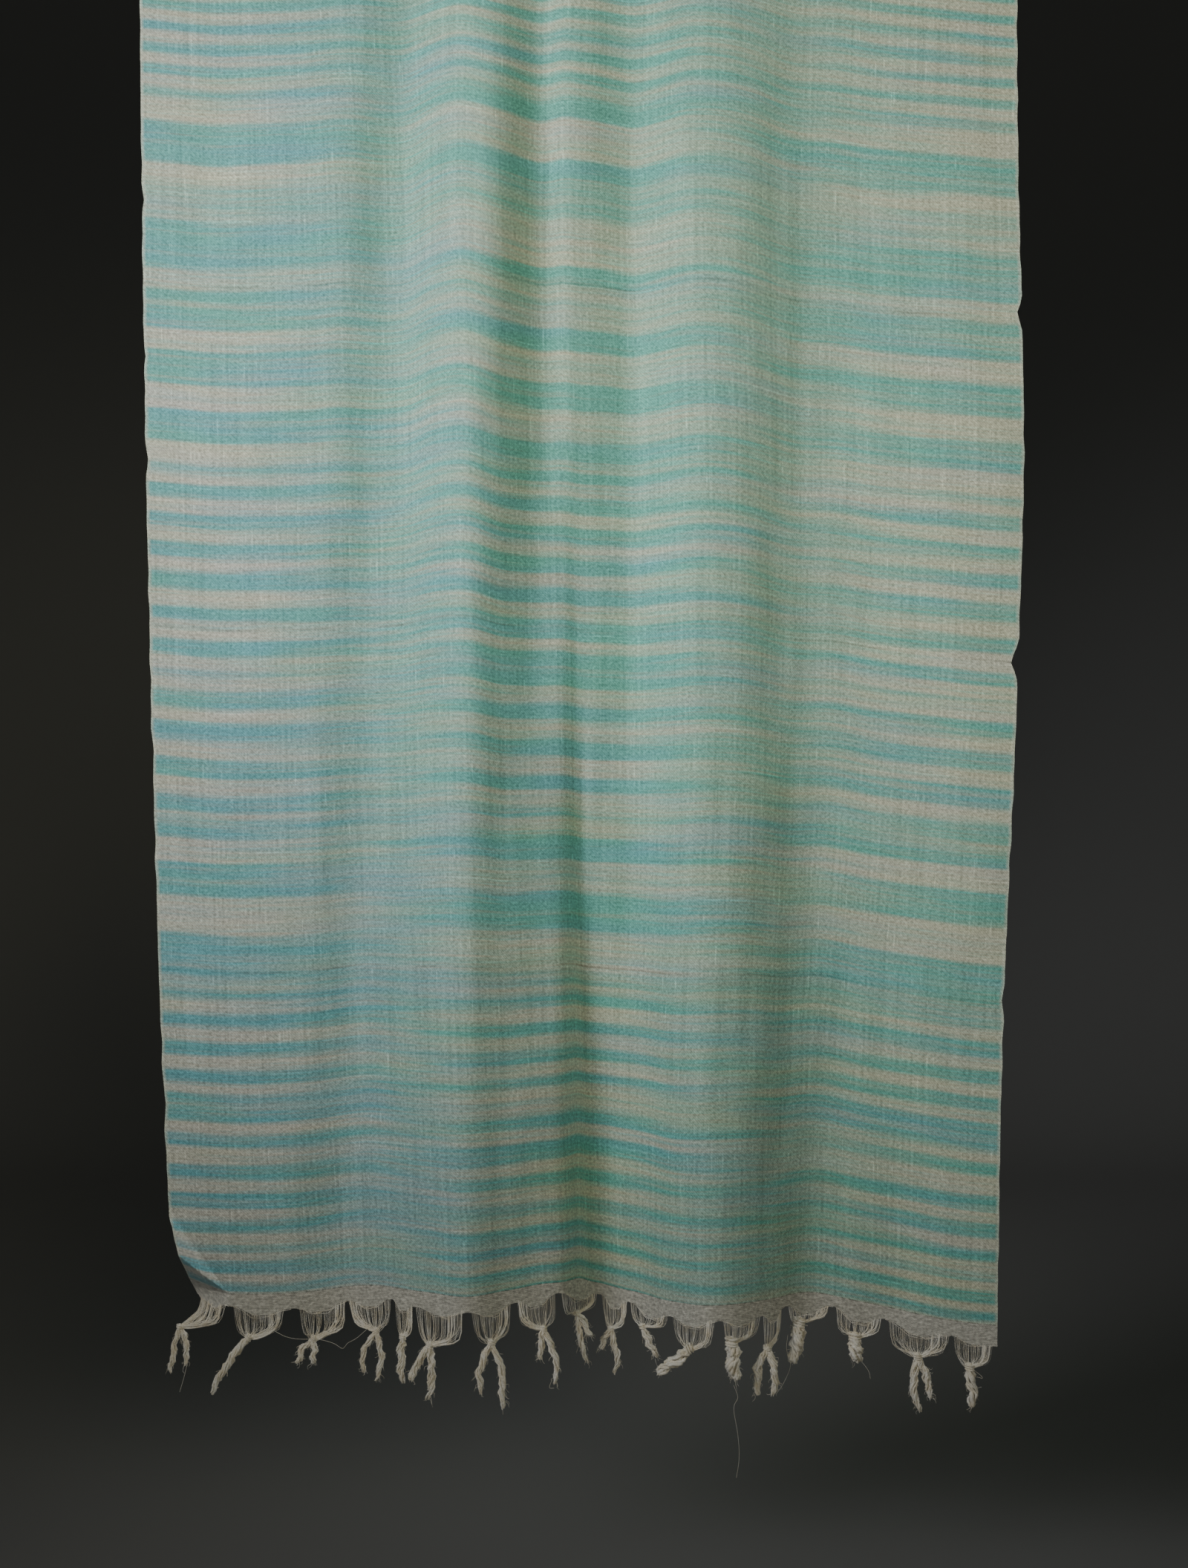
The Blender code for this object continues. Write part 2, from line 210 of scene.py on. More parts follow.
# %% Fold tables
# Depths below the rod's axis at which the tables give the cloth's shape
STATIONS_MM = (0, 210, 412, 636, 882, 1080)
SELVEDGES_MM = {
    FRONT: {"left": (-332, -330, -327, -322, -314, -305), "right": (330, 332, 335, 328, 317, 313)},
    BACK: {"left": (-332, -330, -324, -318, -312, -306), "right": (330, 328, 322, 314, 306, 300)},
}
# name: (middle at the rod, middle at the hem, half width left, half width right, height per station)
FOLDS_MM = {
    FRONT: {
        "left_swell": (-172, -222, 130, 46, (5, 8, 8, 7, 5, 3)),
        "left_dip": (-124, -184, 40, 40, (0, -4, -2, -2, -3, -3)),
        "left_ridge": (-80, -82, 56, 64, (11, 29, 28, 17, 6, 4)),
        "left_rise": (-80, -80, 112, 92, (0, 0, 4, 11, 22, 26)),
        "left_crest": (-80, -88, 26, 34, (0, 2, 4, 4, 5, 6)),
        "left_lip": (-58, -52, 26, 30, (2, 6, 4, 0, 0, 0)),
        "middle_pleat": (-6, -10, 25, 50, (9, 7, 3, 0, 0, 0)),
        "middle_step": (44, 40, 50, 40, (0, -6, -6, -5, 0, 0)),
        "middle_valley": (-13, 14, 28, 84, (0, 0, -3, -8, -19, -24)),
        "middle_crease": (-15, 14, 15, 26, (0, 0, 0, -2, -7, -9)),
        "right_ridge": (94, 98, 60, 88, (11, 17, 20, 23, 29, 33)),
        "right_dip": (192, 205, 84, 110, (0, -9, -9, -9, -9, -9)),
        "right_edge": (330, 322, 110, 60, (0, -2, 2, 3, 6, 9)),
    },
    BACK: {
        "left_outer": (-250, -238, 66, 64, (0, 8, 15, 20, 23, 25)),
        "left_ridge": (-83, -118, 62, 54, (11, 22, 28, 28, 27, 28)),
        "middle_bulge": (-6, 0, 50, 56, (11, 17, 22, 30, 38, 42)),
        "right_ridge": (94, 132, 58, 62, (11, 22, 28, 31, 33, 34)),
        "right_outer": (245, 252, 58, 60, (0, 6, 12, 18, 20, 22)),
    },
}
# The back hangs this much further out at each station, clear of the front
DRIFT_MM = {FRONT: (0, 0, 0, 0, 0, 0), BACK: (0, 4, 8, 11, 13, 14)}
# How much lower the front end hangs, at places along the rod
SKEW_X_MM = (-332, -223, -185, -140, -71, -45, -16, 4, 60, 110, 155, 195, 229, 268, 300, 330)
SKEW_DROP_MM = (0, -2, -7, -6, -8, -10, -8, -2, 4, 1, 1, 1, 8, 15.5, 20, 22)
print("folds in front", len(FOLDS_MM[FRONT]), "and behind", len(FOLDS_MM[BACK]))

# %% [markdown]
# ## A smooth form from a few numbers
# A table gives a fold's height at six depths only. Between them the height follows a cubic curve
# whose slopes match at every depth, so a fold swells and sinks without a kink. Across its width each
# fold is rounded like one wave of a cosine, and the folds are simply added up.

# %% Folds as curves
def smooth_at(stations, values, where):
    """The value at a place between stations, on a smooth curve through the table's values."""
    stations, values = np.asarray(stations, float), np.asarray(values, float)
    slopes = np.gradient(values, stations)
    where = np.clip(where, stations[0], stations[-1])
    i = np.clip(np.searchsorted(stations, where, side="right") - 1, 0, len(stations) - 2)
    span = stations[i + 1] - stations[i]
    t = (where - stations[i]) / span
    start = (2 * t**3 - 3 * t**2 + 1) * values[i] + (t**3 - 2 * t**2 + t) * span * slopes[i]
    end = (3 * t**2 - 2 * t**3) * values[i + 1] + (t**3 - t**2) * span * slopes[i + 1]
    return start + end


def outward(side, x_mm, depth_mm):
    """How far, in mm, the cloth stands out from the rod's side, at places across and a depth."""
    total = np.full_like(x_mm, smooth_at(STATIONS_MM, DRIFT_MM[side], depth_mm))
    for at_rod, at_hem, left, right, heights in FOLDS_MM[side].values():
        middle = at_rod + (at_hem - at_rod) * depth_mm / STATIONS_MM[-1]
        t = np.where(x_mm < middle, (middle - x_mm) / left, (x_mm - middle) / right)
        rounded = np.cos(np.clip(t, 0, 1) * math.pi / 2) ** 2
        total = total + smooth_at(STATIONS_MM, heights, depth_mm) * rounded
    return total


ridge = outward(FRONT, np.array([-80.0, 94.0]), 636.0)
print("the two large ridges stand out", [round(float(mm), 1) for mm in ridge], "mm at half height")

# %% [markdown]
# ## Cloth keeps its width
# Cloth bends easily but hardly stretches. So at every 4 mm of depth the cross-section is walked from
# selvedge to selvedge, and the warp threads are set out on it at equal lengths of cloth, not at
# equal widths of picture. The stripes and the weave then bunch up on the flanks of the folds by
# themselves, as they do on the real scarf.

# %% Cross-sections
DEPTH_STEP = 4 * MM
# A little deeper than the lowest point of the hem
DEEPEST = 1.108
SECTION_DEPTHS = np.arange(0, DEEPEST, DEPTH_STEP)
# Points of a section that are walked, and warp threads that are set out on it
WALK_POINTS, WARP_PLACES = 400, 401
SECTION_SHARES = np.linspace(0, 1, WARP_PLACES)


def walk_sections(side):
    """X and outward distance of evenly spaced warp threads, a row for each depth."""
    rows = []
    for depth in SECTION_DEPTHS / MM:
        left, right = (smooth_at(STATIONS_MM, SELVEDGES_MM[side][end], depth) for end in ("left", "right"))
        x = np.linspace(left, right, WALK_POINTS)
        steps = np.hypot(np.diff(x), np.diff(outward(side, x, depth)))
        length = np.concatenate([[0], np.cumsum(steps)])
        even = np.interp(SECTION_SHARES * length[-1], length, x)
        rows.append((even * MM, WRAP_RADIUS + outward(side, even, depth) * MM))
    return np.array([row[0] for row in rows]), np.array([row[1] for row in rows])


SECTIONS = {side: walk_sections(side) for side in (FRONT, BACK)}


def between(table, share, depth):
    """A value of a section table between its threads and depths."""
    row, column = depth / DEPTH_STEP, share * (len(SECTION_SHARES) - 1)
    i = int(min(max(row, 0), table.shape[0] - 2))
    j = int(min(max(column, 0), table.shape[1] - 2))
    a, b = row - i, column - j
    upper = table[i, j] * (1 - b) + table[i, j + 1] * b
    lower = table[i + 1, j] * (1 - b) + table[i + 1, j + 1] * b
    return float(upper * (1 - a) + lower * a)


@functools.cache
def hang_at(side, share):
    """Length of cloth from the rod's axis down to the end of the weave."""
    drop = float(smooth_at(SKEW_X_MM, SKEW_DROP_MM, between(SECTIONS[FRONT][0], share, 0) / MM)) * MM
    return FRONT_HANG + drop if side == FRONT else BACK_HANG - drop


widths = [float(row[-1] - row[0]) for row in SECTIONS[FRONT][0][::90]]
print("width seen from in front, rod to hem", [round(w, 3) for w in widths])

# %% [markdown]
# ## Narrow folds
# On the flanks of the large folds ride a few narrow ones, a few millimetres high at most. They are
# noted in the same way. The valley in the middle comes to a sharp pinch, which draws the dark line
# that runs down to the hem.

# %% Narrow folds
FINE_FOLDS_MM = {
    "crest_edge": (-82, -81, 18, 26, (0.6, 1.0, 1.4, 1.8, 1.8, 1.8)),
    "pleat_edge": (-10, -12, 12, 14, (1.0, 1.4, 1.4, 1.0, 0, 0)),
    "pleat_foot": (43, 40, 16, 12, (-1.0, -1.4, -1.4, -1.0, 0, 0)),
    "pleat_face": (-2, 2, 40, 36, (0.8, 1.4, 2.4, 3.0, 0.8, 0)),
    "valley_floor": (-14, -13, 66, 12, (0, 0, 0.4, 2.0, 3.2, 3.2)),
    "valley_lip": (4, 7, 10, 30, (0, 0, 0, 1.5, 4.0, 4.5)),
    "middle_pinch": (-4, 1, 9, 12, (0, 0, -0.6, -1.6, -2.2, -2.2)),
}


@functools.cache
def fine_heights(depth_mm):
    """The heights of the narrow folds at a depth."""
    return [float(smooth_at(STATIONS_MM, row[4], depth_mm)) for row in FINE_FOLDS_MM.values()]


def fine_folds(x_mm, depth_mm):
    """Outward offset, in mm, of the narrow folds of the front."""
    total = 0.0
    for (at_rod, at_hem, left, right, _), height in zip(FINE_FOLDS_MM.values(), fine_heights(depth_mm)):
        middle = at_rod + (at_hem - at_rod) * depth_mm / STATIONS_MM[-1]
        t = min(abs(x_mm - middle) / (left if x_mm < middle else right), 1.0)
        total += height * math.cos(t * math.pi / 2) ** 2
    return total


print("narrow folds stand out", round(fine_folds(0.0, 636.0), 2), "mm in the middle at half height")

# %% [markdown]
# ## What storage leaves in the cloth
# The scarf was kept folded, and each fold has left a line across the cloth about every 258 mm: a
# low, sharp ridge or groove, highest at the right. Between them the cloth is never quite flat: it has
# shallow dents a few centimetres long and about a millimetre deep, deepest near the hem.

# %% Storage folds and dents
STORAGE_FOLD = 258 * MM
CREASE_HEIGHT = 1.6 * MM
CREASE_REACH = 11 * MM
# The end of the weave lies at no fold, so none is pressed below this height
CREASE_FROM = 0.1
# The cloth lies calm over the rod: its dents start at this depth and are full so much further down
CALM_DEPTH, CALM_FADE = 60 * MM, 120 * MM
# Size of a dent, and of a long shallow wrinkle
DENT_ACROSS, DENT_DOWN = 38 * MM, 95 * MM
WRINKLE_ACROSS, WRINKLE_DOWN = 11 * MM, 300 * MM


def dent(side, share, depth):
    """Outward offset of the small dents and of the lines that storage has pressed in."""
    calm = min(max((depth - CALM_DEPTH) / CALM_FADE, 0), 1)
    # The last coordinate gives each half of the scarf its own stretch of the noise
    place = Vector((share * CLOTH_WIDTH / DENT_ACROSS, depth / DENT_DOWN, 3.0 * side))
    soft = noise.noise(place) * (0.9 + 1.1 * depth) + noise.noise(place * 2.3) * 0.5
    wrinkle_place = Vector((share * CLOTH_WIDTH / WRINKLE_ACROSS, depth / WRINKLE_DOWN, 9.0 * side))
    soft += noise.noise(wrinkle_place) * 0.38
    if side == FRONT:
        soft += fine_folds(round(between(SECTIONS[side][0], share, depth) / MM, 2), round(depth / MM, 1))
    up = hang_at(side, share) - depth
    fold = round(up / STORAGE_FOLD)
    pressed = math.exp(-abs(up - fold * STORAGE_FOLD) / CREASE_REACH) if up > CREASE_FROM else 0.0
    way = 1 if fold % 2 else -1
    return calm * (soft * MM + way * CREASE_HEIGHT * (0.35 + 0.9 * share) * pressed)


print("storage folds at", [round(k * STORAGE_FOLD, 3) for k in range(1, 5)], "m from the hem")

# %% [markdown]
# ## Selvedges
# A selvedge is a straight edge only on the loom. Where a storage fold or a pulled pick meets it, it
# has a small nick, and between the nicks it wavers, because no two picks are drawn in equally.

# %% Selvedges
# (side of the cloth, depth below the rod, depth of the nick, half its length)
NICKS_MM = (
    ("left", 223, 1.6, 12), ("left", 340, 1.3, 10), ("left", 421, 1.8, 14), ("left", 640, 1.2, 16),
    ("left", 905, 1.4, 18), ("right", 310, 4.2, 15), ("right", 572, 5.2, 17), ("right", 828, 1.8, 15),
)
NICK_REACH = 14 * MM
SELVEDGE_WAVER = 0.9 * MM
SELVEDGE_WAVE = 17 * MM


def nick(share, depth):
    """Sideways offset of the selvedges where they are nicked."""
    total = 0.0
    for end, middle, deep, half in NICKS_MM:
        inside = (share if end == "left" else 1 - share) * CLOTH_WIDTH
        near = max(0.0, 1 - abs(depth / MM - middle) / half) ** 1.4
        total += (1 if end == "left" else -1) * deep * MM * near * math.exp(-inside / NICK_REACH)
    from_selvedge = min(share, 1 - share) * CLOTH_WIDTH
    drawn_in = noise.noise(Vector((depth / SELVEDGE_WAVE, round(share) * 7.0, 0)))
    return total + drawn_in * SELVEDGE_WAVER * math.exp(-from_selvedge / NICK_REACH)


print("deepest nick", max(row[2] for row in NICKS_MM), "mm")

# %% [markdown]
# ## The turned corner
# The lower left corner is turned back on itself about two creases. Both start at one point, 43 mm
# in from the selvedge at the top of the band, and rise towards the selvedge. The cloth beyond a
# crease is turned about it, so the corner itself is turned by both.

# %% Turned corner
CREASE_POINT_ACROSS = 43 * MM
CREASE_POINT_UP = 16 * MM
# (slope of the crease, how far the cloth beyond it is turned), in degrees
CORNER_CREASES = ((29, 16), (54, 32))
# A crease is rounded over this much of the slope
CREASE_SPREAD = 4


def corner_turned(share, up, point):
    """A point of the front, moved to where the turned lower left corner takes it."""
    flat = Vector((share * CLOTH_WIDTH - CREASE_POINT_ACROSS, 0, up - CREASE_POINT_UP))
    slope = math.degrees(math.atan2(flat.z, -flat.x))
    if flat.x >= 0 or slope >= CORNER_CREASES[-1][0]:
        return point
    corner_slope = math.degrees(math.atan2(-CREASE_POINT_UP, CREASE_POINT_ACROSS))
    # Under the crease point the turn fades, so that the hem runs on without a tear
    fade = min(1.0, (slope + 90) / (corner_slope + 90))
    turned = flat.copy()
    for crease, turn in CORNER_CREASES:
        past = min(max((crease - slope) / CREASE_SPREAD, 0.0), 1.0)
        axis = Vector((-math.cos(math.radians(crease)), 0, math.sin(math.radians(crease))))
        turned = Quaternion(axis, -math.radians(turn) * fade * past) @ turned
    return point + turned - flat


def wall_point(side, share, up):
    """A point of the hanging cloth at a share of its width and a height above the end of the weave."""
    depth = hang_at(side, share) - up
    x = between(SECTIONS[side][0], share, depth) + (nick(share, depth) if side == FRONT else 0)
    y = between(SECTIONS[side][1], share, depth) + dent(side, share, depth)
    point = Vector((x, side * y, -depth))
    return corner_turned(share, up, point) if side == FRONT else point


print("lower left corner at", tuple(round(c, 3) for c in wall_point(FRONT, 0, 0)))

# %% [markdown]
# ## Where the tassels divide the end
# Eighteen tassels gather the loose warp of each end. The band above them is drawn up into a small
# arch between every two, where the last picks of weft have slipped. The sheet's columns follow
# these groups, eight to a tassel, so the notches fall on its own edges. The back end repeats the
# front's table, mirrored.

# %% Tassel table
# (left, right, knot across from the group's middle, knot below the band, tail a, tail b, thickness):
# all in mm, and a tail is how far its tip lies across and below the knot; 0, 0 means no second tail
TASSELS_MM = (
    (-305, -266, -24, 17, (-7, 35), (4, 30), 4.2), (-260, -222, -8, 17, (-27, 43), (0, 0), 4.8),
    (-211, -176, -7, 21, (-13, 19), (-1, 19), 4.5), (-174, -140, 5, 18, (-10, 32), (0, 38), 4.0),
    (-137, -123, -1, 20, (0, 34), (0, 0), 4.5), (-121, -84, -7, 22, (-15, 26), (-2, 40), 5.2),
    (-78, -50, 0, 20, (-8, 38), (7, 49), 5.0), (-45, -17, 5, 17, (-3, 23), (8, 41), 4.6),
    (-13, 14, -2, 11, (8, 38), (10, 18), 4.6), (17, 37, -3, 17, (-6, 16), (3, 35), 4.4),
    (39, 67, -5, 8, (10, 24), (0, 0), 4.5), (70, 100, -4, 17, (-23, 18), (0, 0), 6.5),
    (106, 135, -8, 13, (3, 28), (0, 0), 8.0), (137, 152, -4, 21, (-6, 35), (4, 36), 5.5),
    (157, 190, -7, 7, (-4, 31), (0, 0), 8.0), (195, 230, -3, 12, (1, 18), (0, 0), 8.0),
    (235, 279, -1, 16, (3, 42), (10, 32), 5.5), (282, 310, -3, 17, (2, 30), (0, 0), 6.0),
)
GROUPS = len(TASSELS_MM)
# How deep the band is notched between each two of them
NOTCHES_MM = (7, 4.5, 5, 7, 4.5, 4.5, 6, 8, 7.5, 7, 4.5, 4.5, 4.5, 8, 8, 6.5, 4.5)
# A notch reaches over one part in this many of a group to either side
NOTCH_PARTS = 3


def share_of(side, x_mm):
    """The share of the cloth's width that hangs at a place along the end."""
    hang = FRONT_HANG if side == FRONT else BACK_HANG
    row = int(round(hang / DEPTH_STEP))
    return float(np.interp(x_mm * MM, SECTIONS[side][0][row], SECTION_SHARES))


def group_shares(side):
    """Shares of the width at which one tassel group ends and the next begins."""
    edges = [(a[1] + b[0]) / 2 for a, b in zip(TASSELS_MM, TASSELS_MM[1:])]
    if side == BACK:
        edges = [-x for x in reversed(edges)]
    return [0.0] + [share_of(side, x) for x in edges] + [1.0]


GROUP_SHARES = {side: group_shares(side) for side in (FRONT, BACK)}


def band_edge(side, share):
    """Height of the band's lower edge above the end of the weave: it rises between two groups."""
    groups = float(np.interp(share, GROUP_SHARES[side], range(GROUPS + 1)))
    nearest = round(groups)
    if nearest in (0, GROUPS):
        return 0.0
    notch = NOTCHES_MM[nearest - 1 if side == FRONT else GROUPS - 1 - nearest]
    return notch * MM * max(0.0, 1.0 - (abs(groups - nearest) * NOTCH_PARTS) ** 2)


print("tassel groups", GROUPS, "shares", [round(s, 3) for s in GROUP_SHARES[FRONT][:4]])

# %% [markdown]
# ## The sheet
# A flat grid is the natural start for cloth: its columns are warp threads and its rows are weft.
# Its vertices are moved to where each thread lies, from the front end up the front, over the rod
# and down the back. Each vertex also keeps its place on the flat cloth, in metres, as a UV map
# called cloth, so the weave can be painted as if the scarf still lay on the loom. In use the weft has
# slipped up or down between the folds, by about a centimetre at most, and a short table gives the
# map that bow.

# %% Bow of the weft
# Place across the cloth, how far the weft is bowed down there low on the scarf, and high up
BOW_MM = (
    (0, -2, -4), (45, 0, 0), (105, 0, 3), (140, 1, 6), (165, 0.5, 6), (195, 1, 3), (225, 1.5, 0),
    (255, 2, 3), (285, 3, 11), (315, 3, 10), (345, -1, 5), (375, -4, -2), (405, -4, -4), (435, -2, -3),
    (465, -1, 0), (495, -1, 3), (530, 1, 7), (560, 0, 7), (600, 0, 5.5), (645, -1, 3), (700, 0, 3),
)


@functools.cache
def bow_columns(share):
    """The two bows of the table at a share of the width."""
    places, low, high = zip(*BOW_MM)
    return [float(smooth_at(places, column, share * CLOTH_WIDTH / MM)) for column in (low, high)]


def bow(share, height):
    """How far the weft at a place lies out of its straight line, in metres of cloth."""
    low, high = bow_columns(share)
    # It comes in above the band, changes from low to high on the way up, and is gone behind the rod
    shown, risen, hidden = (
        min(max((height - start) / (end - start), 0), 1)
        for start, end in ((BAND_HEIGHT, 0.12), (0.15, 0.60), (1.45, 1.10))
    )
    return (low + (high - low) * risen) * shown * hidden * MM


print("bow at 0.30 m across, half a metre up", round(bow(0.30 / CLOTH_WIDTH, 0.5) / MM, 1), "mm")

# %% [markdown]
# ## Where the threads cross
# A row of the grid lies in front of the rod, over it or behind it. In front and behind, its points
# lie on the folds, at the row's height above the end of the weave. Over the rod they follow half a
# turn from the top of the front to the top of the back.

# %% Places of the threads
COLUMNS_PER_GROUP = 8
FRONT_ROWS, SADDLE_ROWS, BACK_ROWS = 185, 14, 111
# Above 1, the rows lie closer together near the hem, where the cloth bends most
FRONT_EASE, BACK_EASE = 1.2, 1.25


def sheet_point(share, row):
    """The place of a thread crossing and its height along the cloth, for a row of the grid."""
    front_hang, back_hang = hang_at(FRONT, share), hang_at(BACK, share)
    if row <= FRONT_ROWS:
        low = band_edge(FRONT, share)
        up = low + (front_hang - low) * (row / FRONT_ROWS) ** FRONT_EASE
        return wall_point(FRONT, share, up), up
    if row < FRONT_ROWS + SADDLE_ROWS:
        part = (row - FRONT_ROWS) / SADDLE_ROWS
        ends = [(between(SECTIONS[s][0], share, 0), between(SECTIONS[s][1], share, 0)) for s in (FRONT, BACK)]
        x, radius = (a + (b - a) * part for a, b in zip(*ends))
        turn = math.pi * part
        place = Vector((x, -radius * math.cos(turn), radius * math.sin(turn)))
        return place, front_hang + math.pi * WRAP_RADIUS * part
    low = band_edge(BACK, share)
    part = (FRONT_ROWS + SADDLE_ROWS + BACK_ROWS - row) / BACK_ROWS
    up = low + (back_hang - low) * part**BACK_EASE
    return wall_point(BACK, share, up), CLOTH_LENGTH - up


columns = GROUPS * COLUMNS_PER_GROUP
rows = FRONT_ROWS + SADDLE_ROWS + BACK_ROWS
print("warp threads in the grid", columns + 1, "rows of weft", rows + 1)

# %% [markdown]
# ## The cloth as one sheet
# Now one operator makes the grid with all its faces, and each vertex is moved to its thread's
# place. The outer edges are marked sharp, so that the sheet's rim doesn't look rounded off, and a
# Solidify modifier gives the sheet its thickness.

# %% Sheet
shape = bmesh.new()
cloth_uv = shape.loops.layers.uv.new("cloth")
bmesh.ops.create_grid(shape, x_segments=columns, y_segments=rows, size=0.5)
flat_places = {}
for vertex in shape.verts:
    column, row = (vertex.co.x + 0.5) * columns, (vertex.co.y + 0.5) * rows
    share = float(np.interp(column / COLUMNS_PER_GROUP, range(GROUPS + 1), GROUP_SHARES[FRONT]))
    place, height = sheet_point(share, round(row))
    flat_places[vertex.index] = (share * CLOTH_WIDTH, height + bow(share, height))
    vertex.co = place
for face in shape.faces:
    face.smooth = True
    for loop in face.loops:
        loop[cloth_uv].uv = flat_places[loop.vert.index]
for edge in shape.edges:
    edge.smooth = not edge.is_boundary
bmesh.ops.recalc_face_normals(shape, faces=shape.faces)
cloth_mesh = bpy.data.meshes.new("scarf_cloth")
shape.to_mesh(cloth_mesh)
shape.free()
cloth = bpy.data.objects.new("scarf_cloth", cloth_mesh)
bpy.context.scene.collection.objects.link(cloth)
wall = cloth.modifiers.new("thickness", "SOLIDIFY")
wall.thickness = CLOTH_THICKNESS
wall.offset = 0
print("sheet with", len(cloth_mesh.vertices), "vertices")

# %% [markdown]
# ## The weaver's stripe plan
# The weft changes between two yarns, so the stripes are counted from the end of the weave upwards:
# how wide each turquoise stripe is, then each cream one. The yarn is dyed in sections, so a stripe
# is never fully one colour, and its strength is noted too. Above the last row of the plan the
# narrow stripes just repeat up to the middle of the scarf, and the other half mirrors this one.

# %% Stripe plan
# (turquoise width in mm, how strong it is, cream width in mm, how pale it is)
STRIPES = (
    (7.8, 1, 7.3, 1), (9, 1, 7.3, 1), (6.2, 0.6, 7.8, 1), (9.5, 1, 9.5, 1), (11.2, 1, 9, 1),
    (11.2, 1, 14.6, 1), (9.5, 1, 9, 1), (9.5, 1, 2.6, 0.25), (9.2, 1, 7.8, 0.85), (10.6, 1, 10, 1),
    (11.2, 1, 9, 1), (12.9, 1, 9, 1), (6.7, 0.8, 11.8, 0.45), (30.8, 1, 13.5, 1), (2.5, 0.25, 12, 1),
    (25.8, 1, 17.4, 1), (11.8, 1, 9.5, 0.55), (12.9, 1, 12.3, 1), (14.6, 1, 12.9, 1), (14.6, 1, 11.2, 1),
    (12.9, 1, 9.5, 1), (7.3, 0.5, 9.5, 1), (10.6, 1, 14.6, 1), (11.8, 1, 12.3, 1), (12.9, 1, 10.6, 1),
    (11.8, 1, 11.2, 1), (10.6, 1, 11.8, 1), (11.2, 1, 6.7, 1), (9, 0.5, 15.7, 1), (23.5, 1, 19.6, 1),
    (24.6, 1, 16.8, 1), (13.4, 1, 7.8, 0.35), (9, 1, 15.7, 0.75), (36.4, 1, 13.4, 0.6),
    (15.7, 0.55, 14.6, 1), (30.2, 1, 17.9, 1), (9, 0.75, 8.4, 1),
)
REPEAT = (7.8, 1, 8.4, 1)
HALF_LENGTH = CLOTH_LENGTH / 2
# A stripe is even but for this much at each side, or this share of its width where it is narrow
STRIPE_EDGE_MM, EDGE_SHARE = 2.3, 0.45


def plan_stops():
    """(height above the end of the weave, share of turquoise) at both ends of each even stretch."""
    stops, height = [(BAND_HEIGHT, 0.0)], BAND_HEIGHT / MM
    plan = list(STRIPES)
    while sum(row[0] + row[2] for row in plan) * MM < HALF_LENGTH:
        plan.append(REPEAT)
    for blue_width, strength, cream_width, paleness in plan:
        for width, value in ((blue_width, strength), (cream_width, 1 - paleness)):
            inset = min(STRIPE_EDGE_MM, width * EDGE_SHARE)
            stops.append(((height + inset) * MM, value))
            stops.append(((height + width - inset) * MM, value))
            height += width
    return stops


stops = plan_stops()
print("stripe stops", len(stops), "up to", round(stops[-1][0], 3), "m")

# %% [markdown]
# ## Where on the cloth
# The material starts from the flat cloth's own UV map, in metres. It gives the place across, the
# place along, and the height above the nearer end, because both halves follow the same plan. A
# Map Range node takes its value at input 0, the range it comes from at 1 and 2, and the range it
# goes to at 3 and 4.

# %% Places on the cloth
twill = new_material("space_dyed_cashmere_twill")
weave = twill.node_tree
flat_place = add_node(weave, "ShaderNodeUVMap", uv_map="cloth")
apart = add_node(weave, "ShaderNodeSeparateXYZ", {0: flat_place}, out=None)
across, along = apart.outputs["X"], apart.outputs["Y"]
from_middle = add_node(weave, "ShaderNodeMath", {0: along, 1: HALF_LENGTH}, operation="SUBTRACT")
from_middle = add_node(weave, "ShaderNodeMath", {0: from_middle}, operation="ABSOLUTE")
height = add_node(weave, "ShaderNodeMath", {0: HALF_LENGTH, 1: from_middle}, operation="SUBTRACT")
print("heights run from 0 to", HALF_LENGTH, "m")

# %% [markdown]
# ## Unevenness at its real size
# Everything uneven in a woven cloth runs with its threads: a thick pick is long across the cloth and
# thin along it, and a tight warp thread is the other way round. So each of these patterns is one
# noise texture, stretched to a real size in both directions. One table lists them all, and the
# next steps decide what each does to the colour.

# %% Noise patterns
# name: (size across the cloth in mm, size along it in mm, detail)
PATTERNS_MM = {
    "waver": (160, 50, 2),  # picks that were beaten harder or less hard
    "weft_streaks": (50, 1.6, 3),  # single picks
    "few_picks": (220, 5.2, 1),  # two or three picks in a row
    "slubs": (110, 1.9, 1),  # thick places in the weft
    "warp_streaks": (2.4, 150, 3),  # single warp threads
    "floats": (1.6, 22, 0),  # warp that has been pulled up
    "mottle": (140, 28, 3),  # tone of the dye
    "grain": (2.2, 1.8, 2),  # halo of fibres
    "slack": (6, 2.2, 3),  # slack threads of the band
    "fold_shade_patches": (40, 200, 2),  # patches of the painted shade along the storage fold lines
}
patterns = {}
for name, (wide, long, detail) in PATTERNS_MM.items():
    stretch = (1 / (wide * MM), 1 / (long * MM), 0)
    place = add_node(weave, "ShaderNodeVectorMath", {0: flat_place, 1: stretch}, operation="MULTIPLY")
    patterns[name] = add_node(
        weave, "ShaderNodeTexNoise", {"Vector": place, "Scale": 1.0, "Detail": detail}
    )
print("patterns", ", ".join(patterns))

# %% [markdown]
# ## Stripes in the material
# A colour ramp holds at most thirty-two stops, fewer than the scarf has stripes. So the plan is cut
# into a few ramps, each from one cream stripe to another. Every ramp is black at both ends, so the
# ramps can simply be added up. The stripes waver by about a millimetre, because no weaver beats
# every pick equally hard.

# %% Stripe nodes
WAVER_HEIGHT = 1.4 * MM
# A ramp ends at the first cream stop after this many
RAMP_STOPS = 17
# The plan's last stripe fades out over this much, past the middle of the cloth
LAST_FADE = 5 * MM


